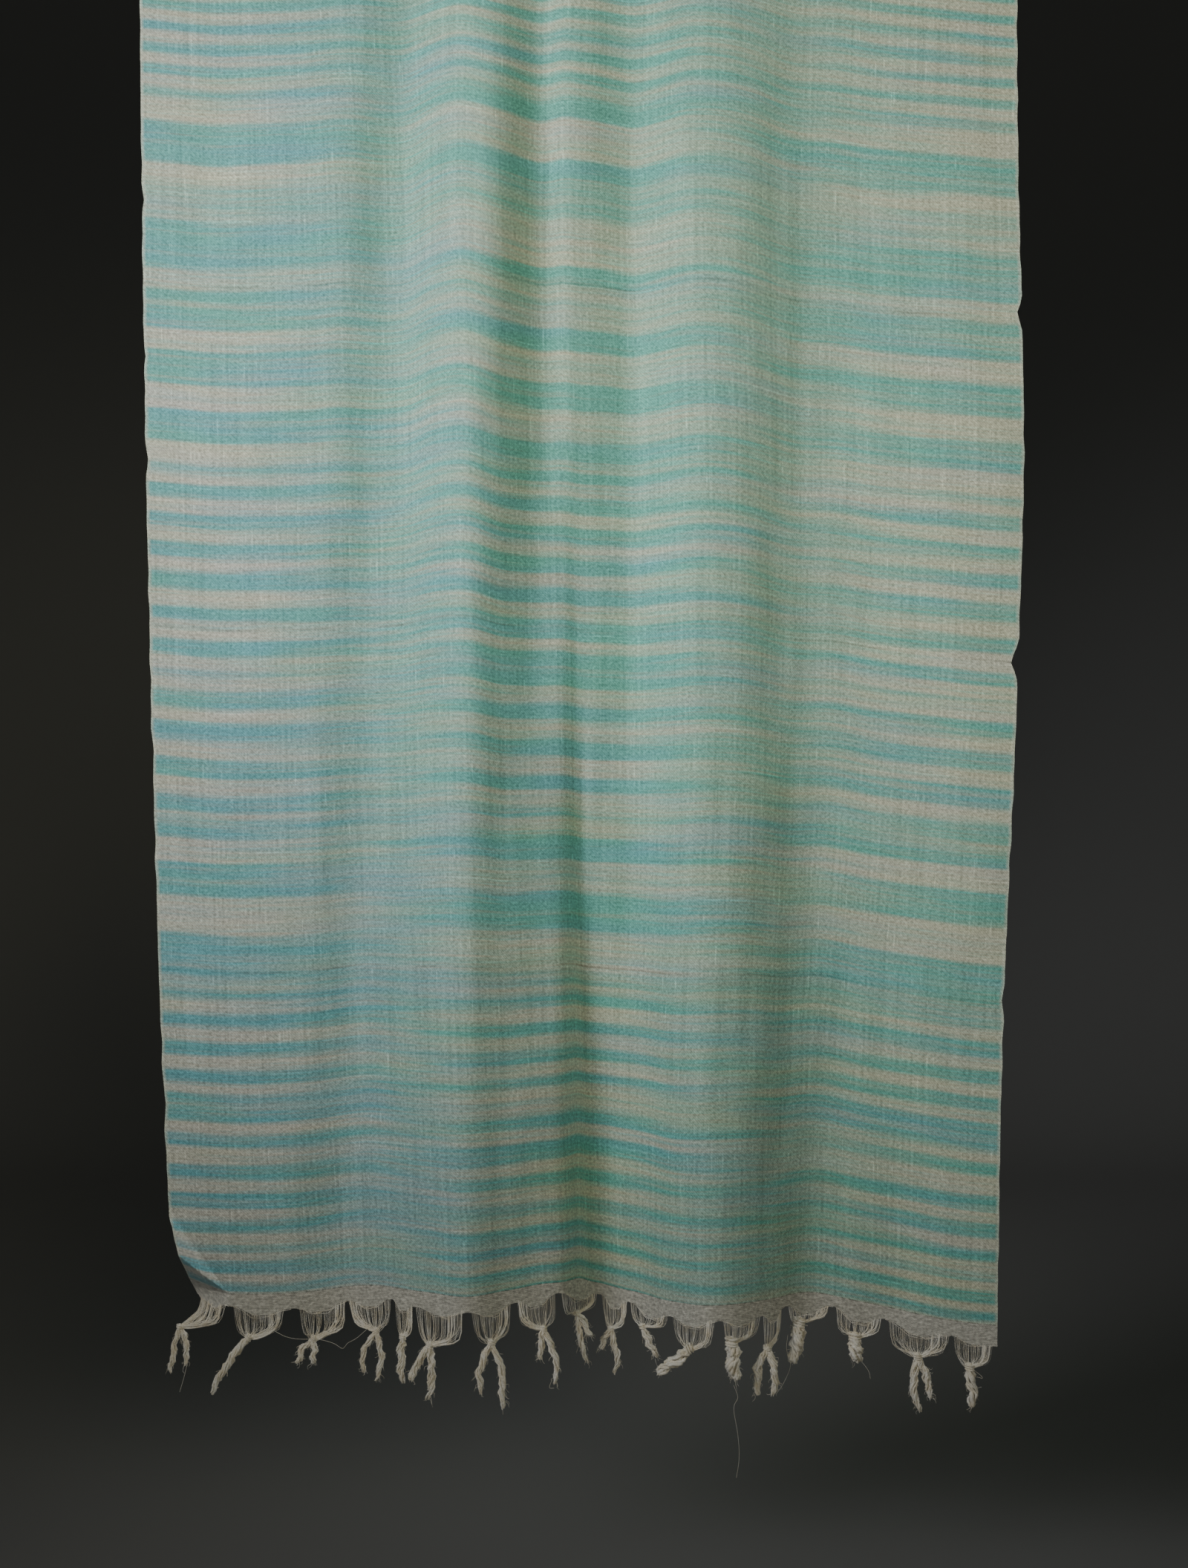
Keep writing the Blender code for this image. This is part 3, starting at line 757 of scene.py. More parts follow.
def set_stops(ramp, stops):
    """Gives a colour ramp its stops: each a place from 0 to 1 and a shade of grey."""
    elements = ramp.color_ramp.elements
    while len(elements) < len(stops):
        elements.new(0.5)
    for element, (place, value) in zip(elements, stops):
        element.position = place
        element.color = (value, value, value, 1)


waver = add_node(
    weave, "ShaderNodeMapRange",
    {0: patterns["waver"], 1: 0.25, 2: 0.75, 3: -WAVER_HEIGHT, 4: WAVER_HEIGHT},
)
stripe_height = add_node(weave, "ShaderNodeMath", {0: height, 1: waver}, operation="ADD")
blocks, block = [], []
for stop in stops:
    block.append(stop)
    if len(block) > RAMP_STOPS and stop[1] == 0:
        blocks.append(block)
        block = [stop]
if len(block) > 1:
    blocks.append(block + [(block[-1][0] + LAST_FADE, 0.0)])
stripes = 0.0
for block in blocks:
    low, high = block[0][0], block[-1][0]
    ramp_place = add_node(weave, "ShaderNodeMapRange", {0: stripe_height, 1: low, 2: high, 3: 0, 4: 1})
    ramp = add_node(weave, "ShaderNodeValToRGB", {0: ramp_place}, out=None)
    ramp.color_ramp.interpolation = "EASE"
    set_stops(ramp, [((place - low) / (high - low), value) for place, value in block])
    stripes = add_node(weave, "ShaderNodeMath", {0: stripes, 1: ramp.outputs[0]}, operation="ADD")
print("ramps", len(blocks), "stops each", [len(block) for block in blocks])

# %% [markdown]
# ## Yarn that is dyed in sections
# The same weft yarn is cream over one part of its length and turquoise over the next, and one melts
# slowly into the other. At the left selvedge the stripes are as planned. Towards 0.19 m they fade
# until both yarns look alike, in the middle they are swapped, and to the right they fade and return
# again. No two picks change at quite the same place, so the change is feathered. Where the dyes
# overlap, both yarns took some turquoise, so a second table notes how blue the cloth is between the
# two.

# %% Dye sections
# (place across the cloth in mm, how far the stripes follow the plan: 1 as planned, -1 swapped)
DYE_CHANGES = (
    (0, 0.92), (45, 0.84), (105, 0.56), (165, 0.19), (195, -0.05), (225, -0.3), (255, -0.5),
    (300, -0.7), (345, -0.82), (375, -0.76), (435, -0.5), (495, -0.16), (525, 0.12), (585, 0.52),
    (645, 0.78), (700, 0.9),
)
# (place across the cloth in mm, share of turquoise halfway between the two yarns)
DYE_TINTS = (
    (0, 0.52), (75, 0.58), (135, 0.66), (195, 0.73), (255, 0.69), (315, 0.72), (375, 0.72), (435, 0.69),
    (495, 0.62), (555, 0.57), (615, 0.5), (675, 0.42), (700, 0.4),
)
dye_place = across
# (size of the noise along the cloth, detail, how far a pick is shifted), in mm
for size, detail, reach in ((1.6, 2.0, 20), (26, 1.0, 14)):
    pick = add_node(weave, "ShaderNodeMath", {0: along, 1: 1 / (size * MM)}, operation="MULTIPLY")
    pick = add_node(
        weave, "ShaderNodeTexNoise", {"W": pick, "Scale": 1.0, "Detail": detail}, noise_dimensions="1D"
    )
    shift = add_node(weave, "ShaderNodeMapRange", {0: pick, 1: 0.2, 2: 0.8, 3: -reach * MM, 4: reach * MM})
    dye_place = add_node(weave, "ShaderNodeMath", {0: dye_place, 1: shift}, operation="ADD")

# A ramp has no shades below 0, so it holds the swapped stripes as dark ones and is stretched after it
dye_shades = [(place, (follows + 1) / 2) for place, follows in DYE_CHANGES]
dye_ramps = []
for read_at, table in ((dye_place, dye_shades), (across, DYE_TINTS)):
    read_at = add_node(weave, "ShaderNodeMath", {0: read_at, 1: 1 / CLOTH_WIDTH}, operation="MULTIPLY")
    ramp = add_node(weave, "ShaderNodeValToRGB", {0: read_at}, out=None)
    set_stops(ramp, [(place * MM / CLOTH_WIDTH, value) for place, value in table])
    dye_ramps.append(ramp.outputs[0])
follows = add_node(weave, "ShaderNodeMapRange", {0: dye_ramps[0], 1: 0, 2: 1, 3: -1, 4: 1})
contrast = add_node(weave, "ShaderNodeMath", {0: stripes, 1: 0.5}, operation="SUBTRACT")
turquoise_share = add_node(
    weave, "ShaderNodeMath", {0: contrast, 1: follows, 2: dye_ramps[1]}, operation="MULTIPLY_ADD"
)
# The last dozen stripes before the hem took less dye, except towards the right selvedge
less_low = add_node(weave, "ShaderNodeMapRange", {0: height, 1: 0.02, 2: 0.45, 3: -0.13, 4: 0})
less_left = add_node(weave, "ShaderNodeMapRange", {0: across, 1: 0.40, 2: 0.62, 3: 1.0, 4: -0.4})
turquoise_share = add_node(
    weave, "ShaderNodeMath", {0: less_low, 1: less_left, 2: turquoise_share}, operation="MULTIPLY_ADD"
)
print("dye changes", len(DYE_CHANGES), "stops")

# %% [markdown]
# ## Colours of the yarn
# The cream is undyed cashmere. The turquoise is a light dye on it that leans to green in some picks
# and to steel blue in others, so two dye tones are mixed by slow noise. Single picks take the dye
# unevenly, which shows as fine streaks along the weft, and now and then two or three picks in a row
# took much more of it than their neighbours, or less. A Mix node takes its two colours at inputs 6
# and 7, or its two numbers at 2 and 3.

# %% Yarn colours
CREAM, CREAM_WARM = "#c8c9c1", "#cacdb5"
TURQUOISE_GREEN, TURQUOISE_STEEL = "#73bbae", "#74b3be"

# (pattern, the range of its values that counts, how much dye it adds or takes at most)
for name, low, high, reach in (("weft_streaks", 0.25, 0.75, 0.26), ("few_picks", 0.26, 0.74, 0.32)):
    uneven = add_node(
        weave, "ShaderNodeMapRange", {0: patterns[name], 1: low, 2: high, 3: -reach, 4: reach}
    )
    turquoise_share = add_node(weave, "ShaderNodeMath", {0: turquoise_share, 1: uneven}, operation="ADD")
# The steel blue and the cooler cream win at the left, most of all near the hem, and lose high up
cool_low = add_node(weave, "ShaderNodeMapRange", {0: height, 1: 0.05, 2: 0.5, 3: 0.30, 4: 0.22})
cool_left = add_node(weave, "ShaderNodeMapRange", {0: across, 1: 0.12, 2: 0.36, 3: 1, 4: 0})
warm_high = add_node(weave, "ShaderNodeMapRange", {0: height, 1: 0.35, 2: 0.75, 3: -0.11, 4: -0.22})
cool = add_node(
    weave, "ShaderNodeMath", {0: cool_low, 1: cool_left, 2: warm_high}, operation="MULTIPLY_ADD"
)
tone = add_node(weave, "ShaderNodeMath", {0: patterns["mottle"], 1: cool}, operation="ADD")
tone = add_node(weave, "ShaderNodeMapRange", {0: tone, 1: 0.29, 2: 0.71, 3: 0, 4: 1})
cream, turquoise = (
    add_node(weave, "ShaderNodeMix", {0: tone, 6: linear(warm), 7: linear(cold)}, out=2, data_type="RGBA")
    for warm, cold in ((CREAM_WARM, CREAM), (TURQUOISE_GREEN, TURQUOISE_STEEL))
)
yarn_colour = add_node(
    weave, "ShaderNodeMix", {0: turquoise_share, 6: cream, 7: turquoise}, out=2, data_type="RGBA"
)
print("dye tones", TURQUOISE_GREEN, TURQUOISE_STEEL)

# %% [markdown]
# ## Twill and plain weave
# The ground is a 2/2 twill: every thread passes over two and under two, and each row moves on by
# one, which draws fine diagonals that fall to the right. Real ones are about 0.85 mm apart, too fine
# for the picture, so they are drawn at 2 mm. The band at the end is an open plain weave, whose
# threads cross one by one, so its ribs are waves along the cloth and its gaps waves across it, both
# drawn twice as coarse as they are.

# %% Waves of the weaves
diagonal = add_node(weave, "ShaderNodeMath", {0: across, 1: along}, operation="ADD")
# name: (what the wave runs along, its pitch in mm)
WAVES_MM = {"twill": (diagonal, 2.0), "ribs": (along, 1.3), "gaps": (across, 1.5)}
waves = {}
for name, (run, pitch) in WAVES_MM.items():
    turn = add_node(weave, "ShaderNodeMath", {0: run, 1: math.tau / (pitch * MM)}, operation="MULTIPLY")
    waves[name] = add_node(weave, "ShaderNodeMath", {0: turn}, operation="SINE")
crossings = add_node(weave, "ShaderNodeMath", {0: waves["gaps"], 1: waves["ribs"]}, operation="MULTIPLY")
print("waves", ", ".join(f"{name} {row[1]} mm" for name, row in WAVES_MM.items()))

# %% [markdown]
# ## Light and dark threads
# The weave and the unevenness of its yarn make the cloth a little darker or paler from place to
# place. In the twill the fine grain stands for the halo of fibres, the weft and the warp have
# streaks, a few thick picks catch more light, and so do short floats of the warp that have been
# pulled up. In the band the open crossings and slack threads show dark. Every pattern is turned
# into a shade about 1, and the shades are multiplied.

# %% Shades of both weaves
# (pattern, two of its values, the shade at the first and at the second)
GRAIN_SHADE = (patterns["grain"], 0.25, 0.75, 0.64, 1.36)
TWILL_SHADES = (
    (waves["twill"], -1, 1, 0.89, 1.10),
    GRAIN_SHADE,
    (patterns["weft_streaks"], 0.25, 0.75, 0.84, 1.16),
    (patterns["warp_streaks"], 0.25, 0.75, 0.84, 1.16),
    (patterns["slubs"], 0.64, 0.74, 1.0, 1.22),
    (patterns["floats"], 0.74, 0.80, 1.0, 1.30),
)
BAND_SHADES = ((crossings, -1, 1, 0.74, 1.14), (patterns["slack"], 0.3, 0.7, 0.72, 1.2), GRAIN_SHADE)
weave_shades = []
for table in (TWILL_SHADES, BAND_SHADES):
    shade = 1.0
    for pattern, low, high, at_low, at_high in table:
        part = add_node(weave, "ShaderNodeMapRange", {0: pattern, 1: low, 2: high, 3: at_low, 4: at_high})
        shade = add_node(weave, "ShaderNodeMath", {0: shade, 1: part}, operation="MULTIPLY")
    weave_shades.append(shade)
twill_shade, band_shade = weave_shades
print("shades of the twill", len(TWILL_SHADES), "and of the band", len(BAND_SHADES))

# %% [markdown]
# ## Painted shade on the fold lines
# The lines where the scarf was folded for storage get a thin painted shade, which stands for the
# small shadows of their creases, deeper in some patches than in others. A ping-pong of the height
# is 0 at every second line, and what it lacks to its top is 0 at the others, so the smaller of the
# two is the distance to the nearest line.

# %% Fold lines
even_line = add_node(weave, "ShaderNodeMath", {0: height, 1: STORAGE_FOLD}, operation="PINGPONG")
odd_line = add_node(weave, "ShaderNodeMath", {0: STORAGE_FOLD, 1: even_line}, operation="SUBTRACT")
fold_line_shade = add_node(weave, "ShaderNodeMath", {0: odd_line, 1: even_line}, operation="MINIMUM")
fold_line_shade = add_node(weave, "ShaderNodeMapRange", {0: fold_line_shade, 1: 0.2 * MM, 2: 1.3 * MM, 3: 1, 4: 0})
# Painted shade along each fold line, deeper in some patches than in others
fold_shade_patches = add_node(weave, "ShaderNodeMapRange", {0: patterns["fold_shade_patches"], 1: 0.38, 2: 0.62, 3: 0, 4: -0.3})
fold_line_shade = add_node(weave, "ShaderNodeMath", {0: fold_line_shade, 1: fold_shade_patches, 2: 1.0}, operation="MULTIPLY_ADD")
twill_shade = add_node(weave, "ShaderNodeMath", {0: twill_shade, 1: fold_line_shade}, operation="MULTIPLY")
print("fold lines every", STORAGE_FOLD, "m")

# %% [markdown]
# ## Band and selvedges
# Both ends close with sixteen millimetres of plain weave in undyed yarn, which holds the last
# stripes in place. A broken darker line of open threads parts it from the twill. Along each selvedge
# a thin pale rim is a painted highlight, where the thicker edge catches the light.

# %% Band and selvedge nodes
BAND_COLOUR = "#cdcbc2"
SELVEDGE_HIGHLIGHT_COLOUR = "#dcdfcf"
SELVEDGE_HIGHLIGHT_WIDTH = 3 * MM
DASH_LENGTH = 6 * MM

past_band = add_node(weave, "ShaderNodeMath", {0: height, 1: BAND_HEIGHT}, operation="SUBTRACT")
band_mask = add_node(weave, "ShaderNodeMapRange", {0: past_band, 1: -0.3 * MM, 2: 0.3 * MM, 3: 1, 4: 0})
join_line = add_node(weave, "ShaderNodeMath", {0: past_band}, operation="ABSOLUTE")
join_line = add_node(weave, "ShaderNodeMapRange", {0: join_line, 1: 0.2 * MM, 2: 0.7 * MM, 3: 1, 4: 0})
dash = add_node(weave, "ShaderNodeMath", {0: across, 1: 1 / DASH_LENGTH}, operation="MULTIPLY")
dash = add_node(weave, "ShaderNodeTexNoise", {"W": dash, "Scale": 1.0, "Detail": 2.0}, noise_dimensions="1D")
dash = add_node(weave, "ShaderNodeMapRange", {0: dash, 1: 0.42, 2: 0.58, 3: 0.0, 4: -0.42})
join_line = add_node(weave, "ShaderNodeMath", {0: join_line, 1: dash, 2: 1.0}, operation="MULTIPLY_ADD")

# A painted highlight: a thin pale rim along each selvedge, where its thicker edge catches the light
from_edge = add_node(weave, "ShaderNodeMath", {0: across, 1: CLOTH_WIDTH / 2}, operation="SUBTRACT")
from_edge = add_node(weave, "ShaderNodeMath", {0: from_edge}, operation="ABSOLUTE")
selvedge = add_node(
    weave, "ShaderNodeMapRange",
    {0: from_edge, 1: CLOTH_WIDTH / 2 - SELVEDGE_HIGHLIGHT_WIDTH, 2: CLOTH_WIDTH / 2 - 0.5 * MM, 3: 0, 4: 0.6},
)
base = yarn_colour
for share, colour in ((selvedge, SELVEDGE_HIGHLIGHT_COLOUR), (band_mask, BAND_COLOUR)):
    base = add_node(weave, "ShaderNodeMix", {0: share, 6: base, 7: linear(colour)}, out=2, data_type="RGBA")
fine_shade = add_node(
    weave, "ShaderNodeMix", {0: band_mask, 2: twill_shade, 3: band_shade}, data_type="FLOAT"
)
fine_shade = add_node(weave, "ShaderNodeMath", {0: fine_shade, 1: join_line}, operation="MULTIPLY")
print("band", BAND_HEIGHT / MM, "mm high")

# %% [markdown]
# ## Painted light on the turned corner
# A painted highlight makes the turned corner pale between its two creases, where it faces the
# window light, and on the tip of the band, and a painted shade darkens it behind the second crease,
# which turns away from the light. Each is a wedge that spreads from the point where both creases
# start, so it is drawn by the slope from that point, as the creases themselves.

# %% Corner marks
# (slope in degrees below which a painted highlight or shade starts, slope from which it is full, its
# strength: above 0 a painted highlight, below 0 a painted shade): each also lies under the next one
CORNER_PAINTED_LIGHT = ((57, 52, 0.55), (30, 27, -0.60), (-8, -14, 0.75))
left_of_point = add_node(weave, "ShaderNodeMath", {0: CREASE_POINT_ACROSS, 1: across}, operation="SUBTRACT")
above_point = add_node(weave, "ShaderNodeMath", {0: along, 1: CREASE_POINT_UP}, operation="SUBTRACT")
slope = add_node(weave, "ShaderNodeMath", {0: above_point, 1: left_of_point}, operation="ARCTAN2")
slope = add_node(weave, "ShaderNodeMath", {0: slope}, operation="DEGREES")
near = add_node(weave, "ShaderNodeMapRange", {0: left_of_point, 1: 0, 2: 6 * MM, 3: 0, 4: 1})
# Painted highlight between the creases and on the band's tip, painted shade behind the second crease
for start, full, strength in CORNER_PAINTED_LIGHT:
    corner_light = add_node(weave, "ShaderNodeMapRange", {0: slope, 1: full, 2: start, 3: strength, 4: 0.0})
    corner_light = add_node(weave, "ShaderNodeMath", {0: corner_light, 1: near, 2: 1.0}, operation="MULTIPLY_ADD")
    fine_shade = add_node(weave, "ShaderNodeMath", {0: fine_shade, 1: corner_light}, operation="MULTIPLY")
cloth_colour = add_node(weave, "ShaderNodeVectorMath", {0: base, "Scale": fine_shade}, operation="SCALE")
print("corner marks", len(CORNER_PAINTED_LIGHT))

# %% [markdown]
# ## The surface of cashmere
# Cashmere is all fine matt fibres, so its gloss is very low and broad, and a little sheen along the
# edges of the folds stands for the nap. The bump takes the twill, the ribs of the band and the
# grain, which stand up about a tenth of a millimetre.

# %% Cashmere shader
relief = add_node(
    weave, "ShaderNodeMix", {0: band_mask, 2: waves["twill"], 3: waves["ribs"]}, data_type="FLOAT"
)
relief = add_node(
    weave, "ShaderNodeMath", {0: relief, 1: 0.25, 2: patterns["grain"]}, operation="MULTIPLY_ADD"
)
bump = add_node(weave, "ShaderNodeBump", {"Height": relief, "Strength": 0.7, "Distance": 0.3 * MM})
cashmere = add_node(
    weave, "ShaderNodeBsdfPrincipled",
    {
        "Base Color": cloth_colour, "Roughness": 0.88, "IOR": 1.45, "Specular IOR Level": 0.25,
        "Sheen Weight": 0.25, "Sheen Roughness": 0.45, "Sheen Tint": linear("#e9ece6"), "Normal": bump,
    },
)
add_node(weave, "ShaderNodeOutputMaterial", {"Surface": cashmere}, out=None)
cloth_mesh.materials.append(twill)
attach(cloth, "root")
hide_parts("cloth_front", "cloth_over_rod", "cloth_back", "band_front", "band_back")
print("cloth uses", twill.name)

# %% [markdown]
# ## Threads
# A tassel is nothing but yarn, so it is drawn as yarn: a curve for every thread, with a radius that
# may change along it, all in one object. A round bevel gives each its body, and the whole tassel is
# then turned into one mesh with its place in its points.

# %% Thread helpers
def bowed_line(start, end, bow, steps):
    """Points from start to end that bow by an offset, most at the middle."""
    shares = [i / steps for i in range(steps + 1)]
    return [start.lerp(end, t) + bow * math.sin(math.pi * t) for t in shares]


def soft_path(points, steps):
    """A smooth path through a few guide points."""
    guides = [points[0] * 2 - points[1], *points, points[-1] * 2 - points[-2]]
    path = []
    for a, b, c, d in zip(guides, guides[1:], guides[2:], guides[3:]):
        for i in range(steps):
            t = i / steps
            square = (2 * a - 5 * b + 4 * c - d) * t**2
            cube = (3 * b - a - 3 * c + d) * t**3
            path.append(0.5 * (2 * b + (c - a) * t + square + cube))
    return path + [points[-1]]


def yarn_object(name, threads):
    """One mesh from many threads, each a list of points with a radius for each."""
    curve = bpy.data.curves.new(name, "CURVE")
    curve.dimensions = "3D"
    curve.bevel_depth = 1.0
    curve.bevel_resolution = 1
    curve.use_fill_caps = True
    for points, radii in threads:
        spline = curve.splines.new("POLY")
        spline.points.add(len(points) - 1)
        for place, point, radius in zip(spline.points, points, radii):
            place.co = (*point, 1.0)
            place.radius = radius
        spline.use_smooth = True
    holder = bpy.data.objects.new(name + "_curve", curve)
    bpy.context.scene.collection.objects.link(holder)
    bpy.context.view_layer.update()
    mesh = bpy.data.meshes.new_from_object(holder.evaluated_get(bpy.context.evaluated_depsgraph_get()))
    bpy.data.objects.remove(holder)
    mesh.name = name
    mesh.shade_smooth()
    obj = bpy.data.objects.new(name, mesh)
    bpy.context.scene.collection.objects.link(obj)
    return obj


print("a path through 3 guides has", len(soft_path([Vector((0, 0, z)) for z in range(3)], 4)), "points")

# %% [markdown]
# ## Fringe yarn
# The loose warp is undyed cashmere, creamier than the woven cloth because it is thicker and takes
# no light from coloured weft. The tails have felted with wear. Small streaks of light and dark along
# each thread, and a soft bump, stand for the fibres.

# %% Fringe material
FIBRES_PER_MM, CLUMPS_PER_MM = 0.9, 0.14
fringe = new_material("felted_undyed_cashmere_yarn")
felt = fringe.node_tree
place = add_node(felt, "ShaderNodeTexCoord", out="Object")
fibre = add_node(felt, "ShaderNodeTexNoise", {"Vector": place, "Scale": FIBRES_PER_MM / MM, "Detail": 3.0})
clump = add_node(felt, "ShaderNodeTexNoise", {"Vector": place, "Scale": CLUMPS_PER_MM / MM, "Detail": 2.0})
clump_share = add_node(felt, "ShaderNodeMapRange", {0: clump, 1: 0.35, 2: 0.65, 3: 0, 4: 1})
felt_colour = add_node(
    felt, "ShaderNodeMix", {0: clump_share, 6: linear("#f2e9d6"), 7: linear("#fdfaf2")},
    out=2, data_type="RGBA",
)
fibre_shade = add_node(felt, "ShaderNodeMapRange", {0: fibre, 1: 0.3, 2: 0.7, 3: 0.84, 4: 1.12})
felt_colour = add_node(
    felt, "ShaderNodeVectorMath", {0: felt_colour, "Scale": fibre_shade}, operation="SCALE"
)
felt_bump = add_node(felt, "ShaderNodeBump", {"Height": fibre, "Strength": 0.6, "Distance": 0.3 * MM})
felted = add_node(
    felt, "ShaderNodeBsdfPrincipled",
    {
        "Base Color": felt_colour, "Roughness": 0.9, "IOR": 1.45, "Specular IOR Level": 0.25,
        "Sheen Weight": 0.3, "Sheen Roughness": 0.5, "Sheen Tint": linear("#f2ecdc"), "Normal": felt_bump,
    },
)
add_node(felt, "ShaderNodeOutputMaterial", {"Surface": felted}, out=None)
print("fringe uses", fringe.name)

# %% [markdown]
# ## Loose picks
# Each tassel gathers the loose warp of its stretch of the end. Every tassel is placed by the same
# table as its solid, and a seeded choice of small offsets makes no two alike. It starts with the
# last few picks of weft, which have slipped out of the band and hang along its edge.

# %% Loose picks
PICK_POINTS = 14
# How far each pick lies above the band's edge, in mm: the ones below it are broken off, and sag
PICK_LIFTS_MM = (0.9, 0.1, -0.5, -1.2, -2.2)
PICK_WAVE_MM = 1.1


def jitter(chance, size):
    """A small random offset, flatter from front to back."""
    return Vector([chance.uniform(-size, size) * flat for flat in (1, 0.6, 1)])


def loose_picks(side, number, chance):
    """Threads of weft that have slipped to the band's lower edge, over one group."""
    group = number - 1 if side == FRONT else GROUPS - number
    threads = []
    for lift in PICK_LIFTS_MM:
        start, stop = 0, PICK_POINTS
        if lift <= 0:
            start, stop = chance.randrange(0, 7), chance.randrange(8, 15)
        path = []
        for k in range(start, stop + 1):
            share = float(np.interp(group + k / PICK_POINTS, range(GROUPS + 1), GROUP_SHARES[side]))
            wave = noise.noise(Vector((share * 90, lift * 9, side))) * PICK_WAVE_MM
            sag = min(lift, 0) * math.sin(math.pi * (k - start) / (stop - start))
            place = wall_point(side, share, band_edge(side, share) + (max(lift, 0) + sag + wave) * MM)
            path.append(place + jitter(chance, 0.25 * MM))
        threads.append((path, [chance.uniform(0.1, 0.2) * MM] * len(path)))
    return threads


print("loose picks in a group", len(loose_picks(FRONT, 2, random.Random(1))))

# %% [markdown]
# ## The fan of warp
# Below the band the warp threads fan together in small clumps. Those from the far side of the knot
# join into a rope that sweeps across to it. At the turned corner they are all drawn to its tip.

# %% Fan of warp
# A drawn thread stands for this much of the width, and a fan has no fewer or more than these
THREAD_SPACING_MM = 0.5
FEWEST_THREADS, MOST_THREADS = 26, 80
ROPE_THREADS = 6
CLUMP_WIDTH_MM = 8
THREAD_RADII_MM = (0.07, 0.09, 0.11, 0.17)


def fan_threads(side, left, right, knot, half, gather, chance):
    """The loose warp from the band to the knot, and the rope that it makes; gather draws it left."""
    threads = []
    fan = int(min(max((right - left) / THREAD_SPACING_MM, FEWEST_THREADS), MOST_THREADS))
    clumps = 2 + int((right - left) / CLUMP_WIDTH_MM)
    far_right = right / 2 + left / 2 > knot.x / MM
    for i in range(fan + ROPE_THREADS):
        rope = i >= fan
        t = (i + 0.5 + chance.uniform(-0.5, 0.5)) / fan
        if rope:
            t = chance.uniform(0.70, 0.98) if far_right else chance.uniform(0.02, 0.30)
        t = min(max(t, 0), 1) ** gather
        clump = 0 if rope else ((int(t * clumps) + 0.5) / clumps - t) * (right - left) * MM
        share = share_of(side, left + (right - left) * t)
        edge = band_edge(side, share) + chance.uniform(0.4, 2.2) * MM
        root = wall_point(side, share, edge)
        down = (root - wall_point(side, share, edge + 2 * MM)).normalized()
        over, fall = knot - root, root.z - knot.z
        belly = root + down * fall * chance.uniform(0.5, 0.8) + Vector((over.x * 0.12 + clump * 0.26, 0, 0))
        belly += jitter(chance, 0.6 * MM)
        waist = knot - over * 0.3
        waist.z = knot.z + fall * chance.uniform(-0.02, 0.14)
        waist += jitter(chance, 0.5 * MM)
        path = soft_path([root, belly, waist, knot + jitter(chance, 0.35 * half)], 3)
        thick = (chance.uniform(0.35, 0.6) if rope else chance.choice(THREAD_RADII_MM)) * MM
        thick *= 1 + (gather - 1) * (1 - t) * 0.7
        threads.append((path, [thick * (0.7 + 0.6 * k / len(path)) for k in range(len(path))]))
    return threads


sample_knot = wall_point(FRONT, 0.1, 0.0) + Vector((0, 0, -17 * MM))
sample = fan_threads(FRONT, -260, -222, sample_knot, 2 * MM, 1, random.Random(1))
print("threads in a fan 38 mm wide", len(sample))

# %% [markdown]
# ## The knot
# A knot is a small lump with a turn or so of yarn wound round it at three heights, a little aslant.

# %% Knot
WRAP_POINTS = 13


def knot_wraps(knot, hang, aside, front, half, chance):
    """The lump of the knot and the yarn that is wound round it."""
    lump = [knot - hang * half * 1.1, knot - hang * half * 0.3, knot + hang * half]
    threads = [(lump, [half * 0.5, half * 0.85, half * 0.7])]
    for tilt in (chance.uniform(-0.7, -0.4), chance.uniform(-0.1, 0.1), chance.uniform(0.35, 0.6)):
        loop = []
        for k in range(WRAP_POINTS):
            turn = 0.4 + 2.2 * math.pi * k / (WRAP_POINTS - 1)
            rim = aside * math.cos(turn) * half + front * math.sin(turn) * half * 0.9
            loop.append(knot + rim + hang * half * (tilt + 0.25 * math.cos(turn)))
        threads.append((loop, [half * 0.24] * WRAP_POINTS))
    return threads


down, right, back = Vector((0, 0, -1)), Vector((1, 0, 0)), Vector((0, 1, 0))
print("threads in a knot", len(knot_wraps(Vector(), down, right, back, 2 * MM, random.Random(1))))

# %% [markdown]
# ## The tails
# Below the knot the ends of the warp have felted into a soft stick that thins and frays at its
# tip. So a tail is a bundle of crimped strands wound loosely round a crooked line, with short
# single hairs standing off it.

# %% Tails
# How thick a tail is from its knot to its tip, next to its body
TAIL_SWELL = (0.62, 0.85, 1.0, 1.1, 1.05, 1.0, 1.06, 1.12, 1.08, 1.0, 0.98, 0.95, 0.88, 0.8, 0.7, 0.5)
KINK_HEIGHT = 2.2 * MM
KINKS_PER_METRE, LUMPS_PER_METRE = 170, 330
# The strands make half a turn round the tail in this length
HALF_TWIST = 19 * MM
STRAND_RADIUS = 0.5 * MM
HAIR_RADIUS = 0.09 * MM
HAIRS = 38


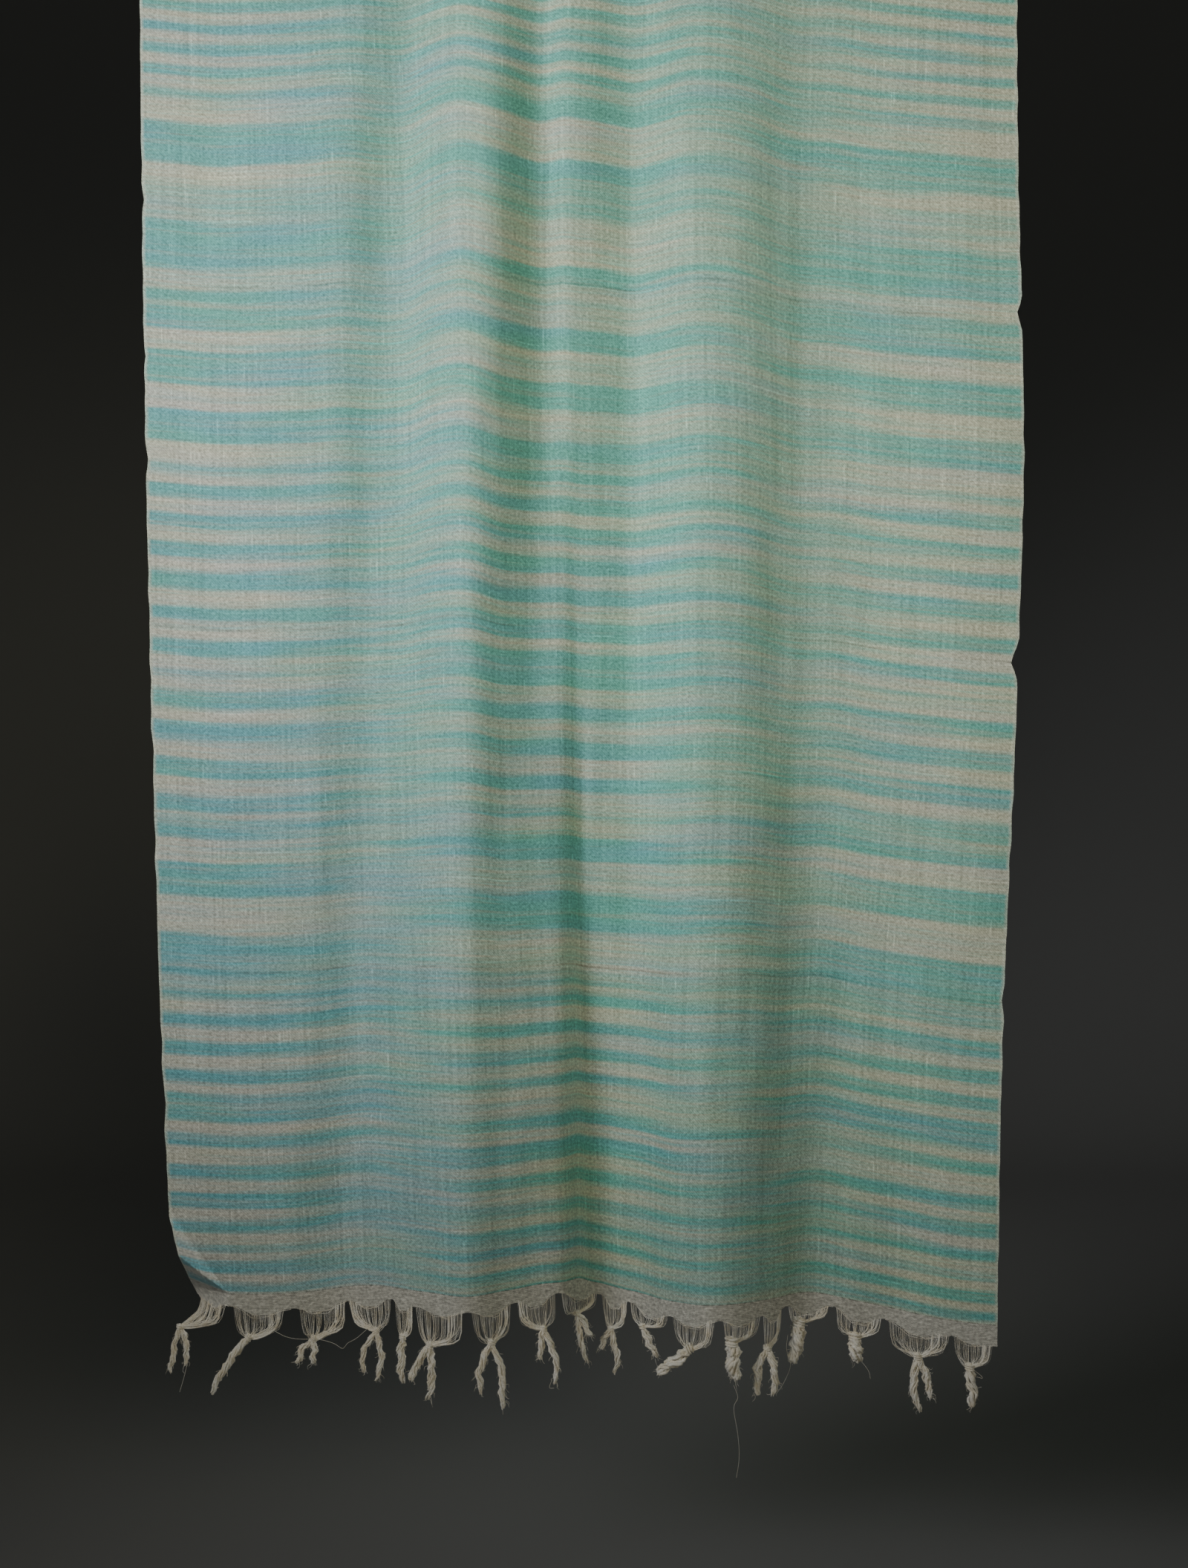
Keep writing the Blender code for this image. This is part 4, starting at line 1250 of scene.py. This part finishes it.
def tail_threads(start, tip, body, bend, chance):
    """One felted tail: crimped strands wound loosely round a crooked line, and the fuzz on them."""
    way = (tip - start).normalized()
    out = way.cross(Vector((0, 1, 0))).normalized()
    length = (tip - start).length
    last = len(TAIL_SWELL) - 1
    spine = []
    for k, point in enumerate(bowed_line(start, tip, out * bend * length + jitter(chance, 0.8 * MM), last)):
        kink = noise.noise(point * KINKS_PER_METRE) * KINK_HEIGHT
        spine.append(point + out * kink * min(k / 5, 1))
    twist = chance.choice((-1, 1)) * length / HALF_TWIST * math.pi
    threads = []
    strands = 8 + int(body / STRAND_RADIUS)
    for strand in range(strands):
        phase = math.tau * strand / strands + chance.uniform(-0.4, 0.4)
        depth = 0.3 if strand % 4 == 0 else 0.68
        stop = chance.choice((last - 3, last - 1, last, last))
        path, radii = [], []
        for k, point in enumerate(spine[: stop + 1]):
            turn = phase + twist * k / last
            lump = noise.noise(Vector((point.x * LUMPS_PER_METRE, point.z * LUMPS_PER_METRE, strand * 3.1)))
            size = body * TAIL_SWELL[k] * (1 + 0.45 * lump)
            rim = out * math.cos(turn) + Vector((0, 1, 0)) * math.sin(turn)
            path.append(point + rim * size * depth + jitter(chance, 0.2 * body))
            radii.append(body * (0.25 + 0.1 * lump) * (1 if k < stop else 0.3))
        threads.append((path, radii))
    for _ in range(HAIRS):
        k = chance.randrange(1, last)
        root = spine[k] + jitter(chance, body * 0.8)
        flick = (root - spine[k]).normalized() * 1.6 * MM + way * chance.uniform(0, 4.5) * MM
        path = bowed_line(root, root + flick + jitter(chance, 1.6 * MM), jitter(chance, 1.5 * MM), 4)
        threads.append((path, [HAIR_RADIUS * s for s in (1.4, 1.2, 1.0, 0.9, 0.6)]))
    return threads


sample = tail_threads(Vector(), Vector((0, 0, -0.03)), 2 * MM, 0.05, random.Random(1))
print("a tail of 30 mm has", len(sample), "threads")

# %% [markdown]
# ## Stray threads
# A few single threads have worked loose. One spans from the second tassel to the fourth, and one
# hangs far below the thirteenth. They are listed one by one, in mm across and up from the rod's axis.

# %% Stray threads
STRAY_RADIUS = 0.12 * MM
# Number of the tassel that the thread belongs to: its guide points
STRAY_THREADS_MM = {
    1: ((-298, -1099), (-301, -1113), (-305, -1127)),
    2: ((-232, -1074), (-221, -1080), (-210, -1082), (-197, -1082), (-185, -1085), (-178, -1089),
        (-174, -1085), (-167, -1081), (-158, -1073)),
    8: ((-20, -1109), (-22, -1115), (-18.5, -1115.5)),
    13: ((114, -1109), (117, -1118), (114, -1126), (117, -1145), (118, -1162), (116, -1177)),
    15: ((158, -1081), (157, -1092), (160, -1104), (155, -1117), (149, -1126)),
    16: ((209, -1097), (216, -1104), (220, -1110), (221, -1115)),
    18: ((296, -1104), (301, -1108), (302, -1110), (298, -1109)),
}
print("stray threads", len(STRAY_THREADS_MM))

# %% [markdown]
# ## One whole tassel
# One function puts the parts together: the knot hangs where the table says, the fan runs down to it
# and the tails start in it. The back end's rows are the front's, mirrored.

# %% One tassel
# The warp of the turned corner is bunched at its tip into one thick rope
CORNER_GATHER = 2.6


def tassel_threads(side, number, chance):
    """All threads of one tassel, from the band's edge to the tips of its tails."""
    left, right, knot_across, knot_drop, tail_a, tail_b, thickness = TASSELS_MM[number - 1]
    if side == BACK:
        left, right, knot_across = -right, -left, -knot_across
        tail_a, tail_b = (-tail_a[0], tail_a[1]), (-tail_b[0], tail_b[1])
    middle_share = share_of(side, (left + right) / 2)
    knot = wall_point(side, middle_share, 0.0) + Vector((knot_across, 0, -knot_drop)) * MM
    half = 0.5 * thickness * MM
    tips = [knot + Vector((across, 0, -down)) * MM for across, down in (tail_a, tail_b) if down]
    hang = (sum(tips, Vector()) / len(tips) - knot).normalized()
    aside = hang.cross(Vector((0, 1, 0))).normalized()
    threads = loose_picks(side, number, chance)
    gather = CORNER_GATHER if side == FRONT and number == 1 else 1
    threads += fan_threads(side, left, right, knot, half, gather, chance)
    threads += knot_wraps(knot, hang, aside, aside.cross(hang), half, chance)
    for k, tip in enumerate(tips):
        body = half * (1.08 if len(tips) == 2 else 1.25)
        bend = chance.uniform(0.04, 0.12) * (2 * k - 1) if len(tips) == 2 else chance.uniform(-0.06, 0.06)
        threads += tail_threads(knot + (tip - knot).normalized() * half * 0.3, tip, body, bend, chance)
    if side == FRONT and number in STRAY_THREADS_MM:
        guides = [Vector((x * MM, knot.y - 1 * MM, z * MM)) for x, z in STRAY_THREADS_MM[number]]
        path = soft_path(guides, 4)
        threads.append((path, [STRAY_RADIUS] * len(path)))
    return threads


print("threads in the second tassel", len(tassel_threads(FRONT, 2, random.Random(2))))

# %% [markdown]
# ## Thirty-six tassels
# The table is walked twice, once for each end. Each tassel stands for its solid of the same name.

# %% All tassels
for side, word in ((FRONT, "front"), (BACK, "back")):
    for number in range(1, GROUPS + 1):
        name = f"tassel_{word}_{number:02d}"
        chance = random.Random(100 * side + number)
        tassel = yarn_object(name + "_yarn", tassel_threads(side, number, chance))
        tassel.data.materials.append(fringe)
        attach(tassel, "root")
        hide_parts(name)

# %% [markdown]
# ## The rod
# The scarf hangs on a plain turned rod of a hard reddish wood under a clear gloss varnish. The
# solid has the right shape already, so it only gets its finish: grain that runs with the rod, drawn
# as noise stretched more than ten times as long as it is wide, with darker pores, under a smooth
# clear coat. The figure is 83 mm long and 6 mm wide, a pore 17 mm long and 0.9 mm wide.

# %% Varnished wood
wood = new_material("varnished_reddish_hardwood")
timber = wood.node_tree
# How often the figure and the pores repeat in a metre, along the rod and twice across it
FIGURE_PER_METRE, PORES_PER_METRE = (12, 160, 160), (60, 1100, 1100)
place = add_node(timber, "ShaderNodeTexCoord", out="Object")
grain_run = add_node(timber, "ShaderNodeMapping", {"Vector": place, "Scale": FIGURE_PER_METRE})
figure = add_node(
    timber, "ShaderNodeTexNoise", {"Vector": grain_run, "Scale": 1.0, "Detail": 4.0, "Distortion": 0.4}
)
pore_run = add_node(timber, "ShaderNodeMapping", {"Vector": place, "Scale": PORES_PER_METRE})
pores = add_node(timber, "ShaderNodeTexNoise", {"Vector": pore_run, "Scale": 1.0, "Detail": 2.0})
figure_share = add_node(timber, "ShaderNodeMapRange", {0: figure, 1: 0.3, 2: 0.7, 3: 0, 4: 1})
wood_colour = add_node(
    timber, "ShaderNodeMix", {0: figure_share, 6: linear("#3a150b"), 7: linear("#7d3a1d")},
    out=2, data_type="RGBA",
)
pore_shade = add_node(timber, "ShaderNodeMapRange", {0: pores, 1: 0.35, 2: 0.5, 3: 0.6, 4: 1.0})
wood_colour = add_node(
    timber, "ShaderNodeVectorMath", {0: wood_colour, "Scale": pore_shade}, operation="SCALE"
)
wood_bump = add_node(timber, "ShaderNodeBump", {"Height": pores, "Strength": 0.15, "Distance": 0.2 * MM})
varnished = add_node(
    timber, "ShaderNodeBsdfPrincipled",
    {
        "Base Color": wood_colour, "Roughness": 0.38, "IOR": 1.5, "Normal": wood_bump,
        "Coat Weight": 1.0, "Coat Roughness": 0.08, "Coat IOR": 1.5,
    },
)
add_node(timber, "ShaderNodeOutputMaterial", {"Surface": varnished}, out=None)
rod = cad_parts["rod"]
if not rod.material_slots:
    rod.data.materials.append(wood)
for material_slot in rod.material_slots:
    material_slot.material = wood
print("rod uses", wood.name)
